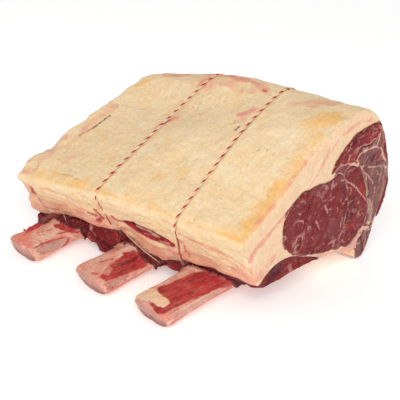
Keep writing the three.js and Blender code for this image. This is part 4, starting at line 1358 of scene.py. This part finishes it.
LEAN_SHREDS = [
    ("dark", 0.3, [(-102, -71.5, 23.5), (-98, -72.5, 20), (-92, -72.5, 19),
                   (-88, -71, 22)], 7.5, 4.5, (0, 0.3, 1)),
    ("bright", 0.2, [(-60, -59, 24), (-54, -59.5, 21.5), (-49, -58, 20)], 6.0, 4.0, (0, 0.3, 1)),
    ("dark", 0.5, [(-51, -58, 21), (-45, -57.5, 18.5), (-39, -55, 16),
                   (-33, -51.5, 15)], 8.0, 5.0, (0, 0.3, 1)),
    ("bright", 0.3, [(-44, -57.5, 20), (-42, -58.5, 16), (-41, -58.8, 14.4)], 3.4, 2.4, (1, 0, 0)),
    ("dark", 0.8, [(-37, -54, 18), (-35.4, -55.5, 14.6), (-34.2, -55.6, 12.6)], 4.2, 2.6, (1, 0.2, 0)),
    ("bright", 0.25, [(10, -41, 24), (15, -40, 22.6), (21, -38, 23)], 5.0, 3.0, (0, 0.2, 1)),
]


# ---- Building the joint ----

FAT = beef_fat()
CUT_LEAN = raw_lean("beef_lean_cut_across", "#7D2122", (0.8, 1, 1))
SIDE_LEAN = raw_lean("beef_lean_torn", "#7F1E21", (1, 0.35, 1))
CAP_LEAN = raw_lean("beef_cap_lean", "#80221F", (1, 1, 0.6))
SINEW = silver_skin()
BONE = scraped_bone()
TWINE = cotton_twine()

ribs = [shape_rib(name) for name in RIB_TIPS]
sides = [shape_side(name) for name in ("rib_lean", "side_lean")]
muscles = [
    (shape_muscle(name, fine, FACE_MARKS.get(name, {}), threaded), material, slot)
    for name, fine, threaded, material, slot in (
        ("eye_muscle", 0.6, 0.15, CUT_LEAN, "lean"), ("inner_muscle", 0.6, 0.45, CUT_LEAN, "lean"),
        ("cap_muscle", 0.6, 0.6, CAP_LEAN, "lean"), ("back_muscle", 0.7, 0.15, CUT_LEAN, "lean"),
        ("back_strap", 0.7, 0.3, SINEW, "sinew"), ("feather_band", 0.7, 0.4, SINEW, "sinew"),
        ("chine_foot", 0.7, 0.15, SINEW, "sinew"))
]
fat = shape_fat()
paths = [taut_loop(twine, sides + [fat] + [muscle[0] for muscle in muscles]) for twine in TWINES]
press_in(fat, paths)

fat.finish(FAT, "fat", FAT_SHREDS)
for skin, material, slot in muscles:
    skin.finish(material, slot)
for skin, shreds in zip(sides, (LEAN_SHREDS, ())):
    skin.finish(SIDE_LEAN, "lean", shreds)
for skin in ribs:
    skin.finish(BONE, "bone", RIB_SHREDS.get(skin.name, ()))
for twine, path in zip(TWINES, paths):
    make_twine(twine, path)


# ---- Floor and light ----

FLOOR_SIDE, FLOOR_GAP = 6, 0.0004       # metres; the gap is what the floor lies under the joint
SOFTBOX_PLACE, SOFTBOX_AIM = (1.15, -1.23, 1.45), (0, 0, 0.04)
SOFTBOX_SIDE, SOFTBOX_WATTS = 1.6, 25.9
STUDIO_WHITE = 0.56


def add_floor():
    bpy.ops.object.select_all(action="DESELECT")
    bpy.ops.mesh.primitive_plane_add(size=FLOOR_SIDE, location=(0, 0, -FLOOR_GAP))
    floor = bpy.context.active_object
    floor.name = "floor"
    floor.data.materials.append(paper_sweep())


def add_softbox():
    data = bpy.data.lights.new("key_softbox", "AREA")
    data.shape = "SQUARE"
    data.size = SOFTBOX_SIDE
    data.energy = SOFTBOX_WATTS
    light = bpy.data.objects.new("key_softbox", data)
    light.location = SOFTBOX_PLACE
    light.rotation_euler = (Vector(SOFTBOX_AIM) - light.location).to_track_quat("-Z", "Y").to_euler()
    bpy.context.scene.collection.objects.link(light)


def add_studio():
    world = bpy.data.worlds.new("studio")
    world.use_nodes = True
    white = world.node_tree.nodes["Background"].inputs
    white["Color"].default_value = (1, 1, 1, 1)
    white["Strength"].default_value = STUDIO_WHITE
    bpy.context.scene.world = world
    bpy.context.scene.view_settings.view_transform = "Standard"


add_floor()
add_softbox()
add_studio()
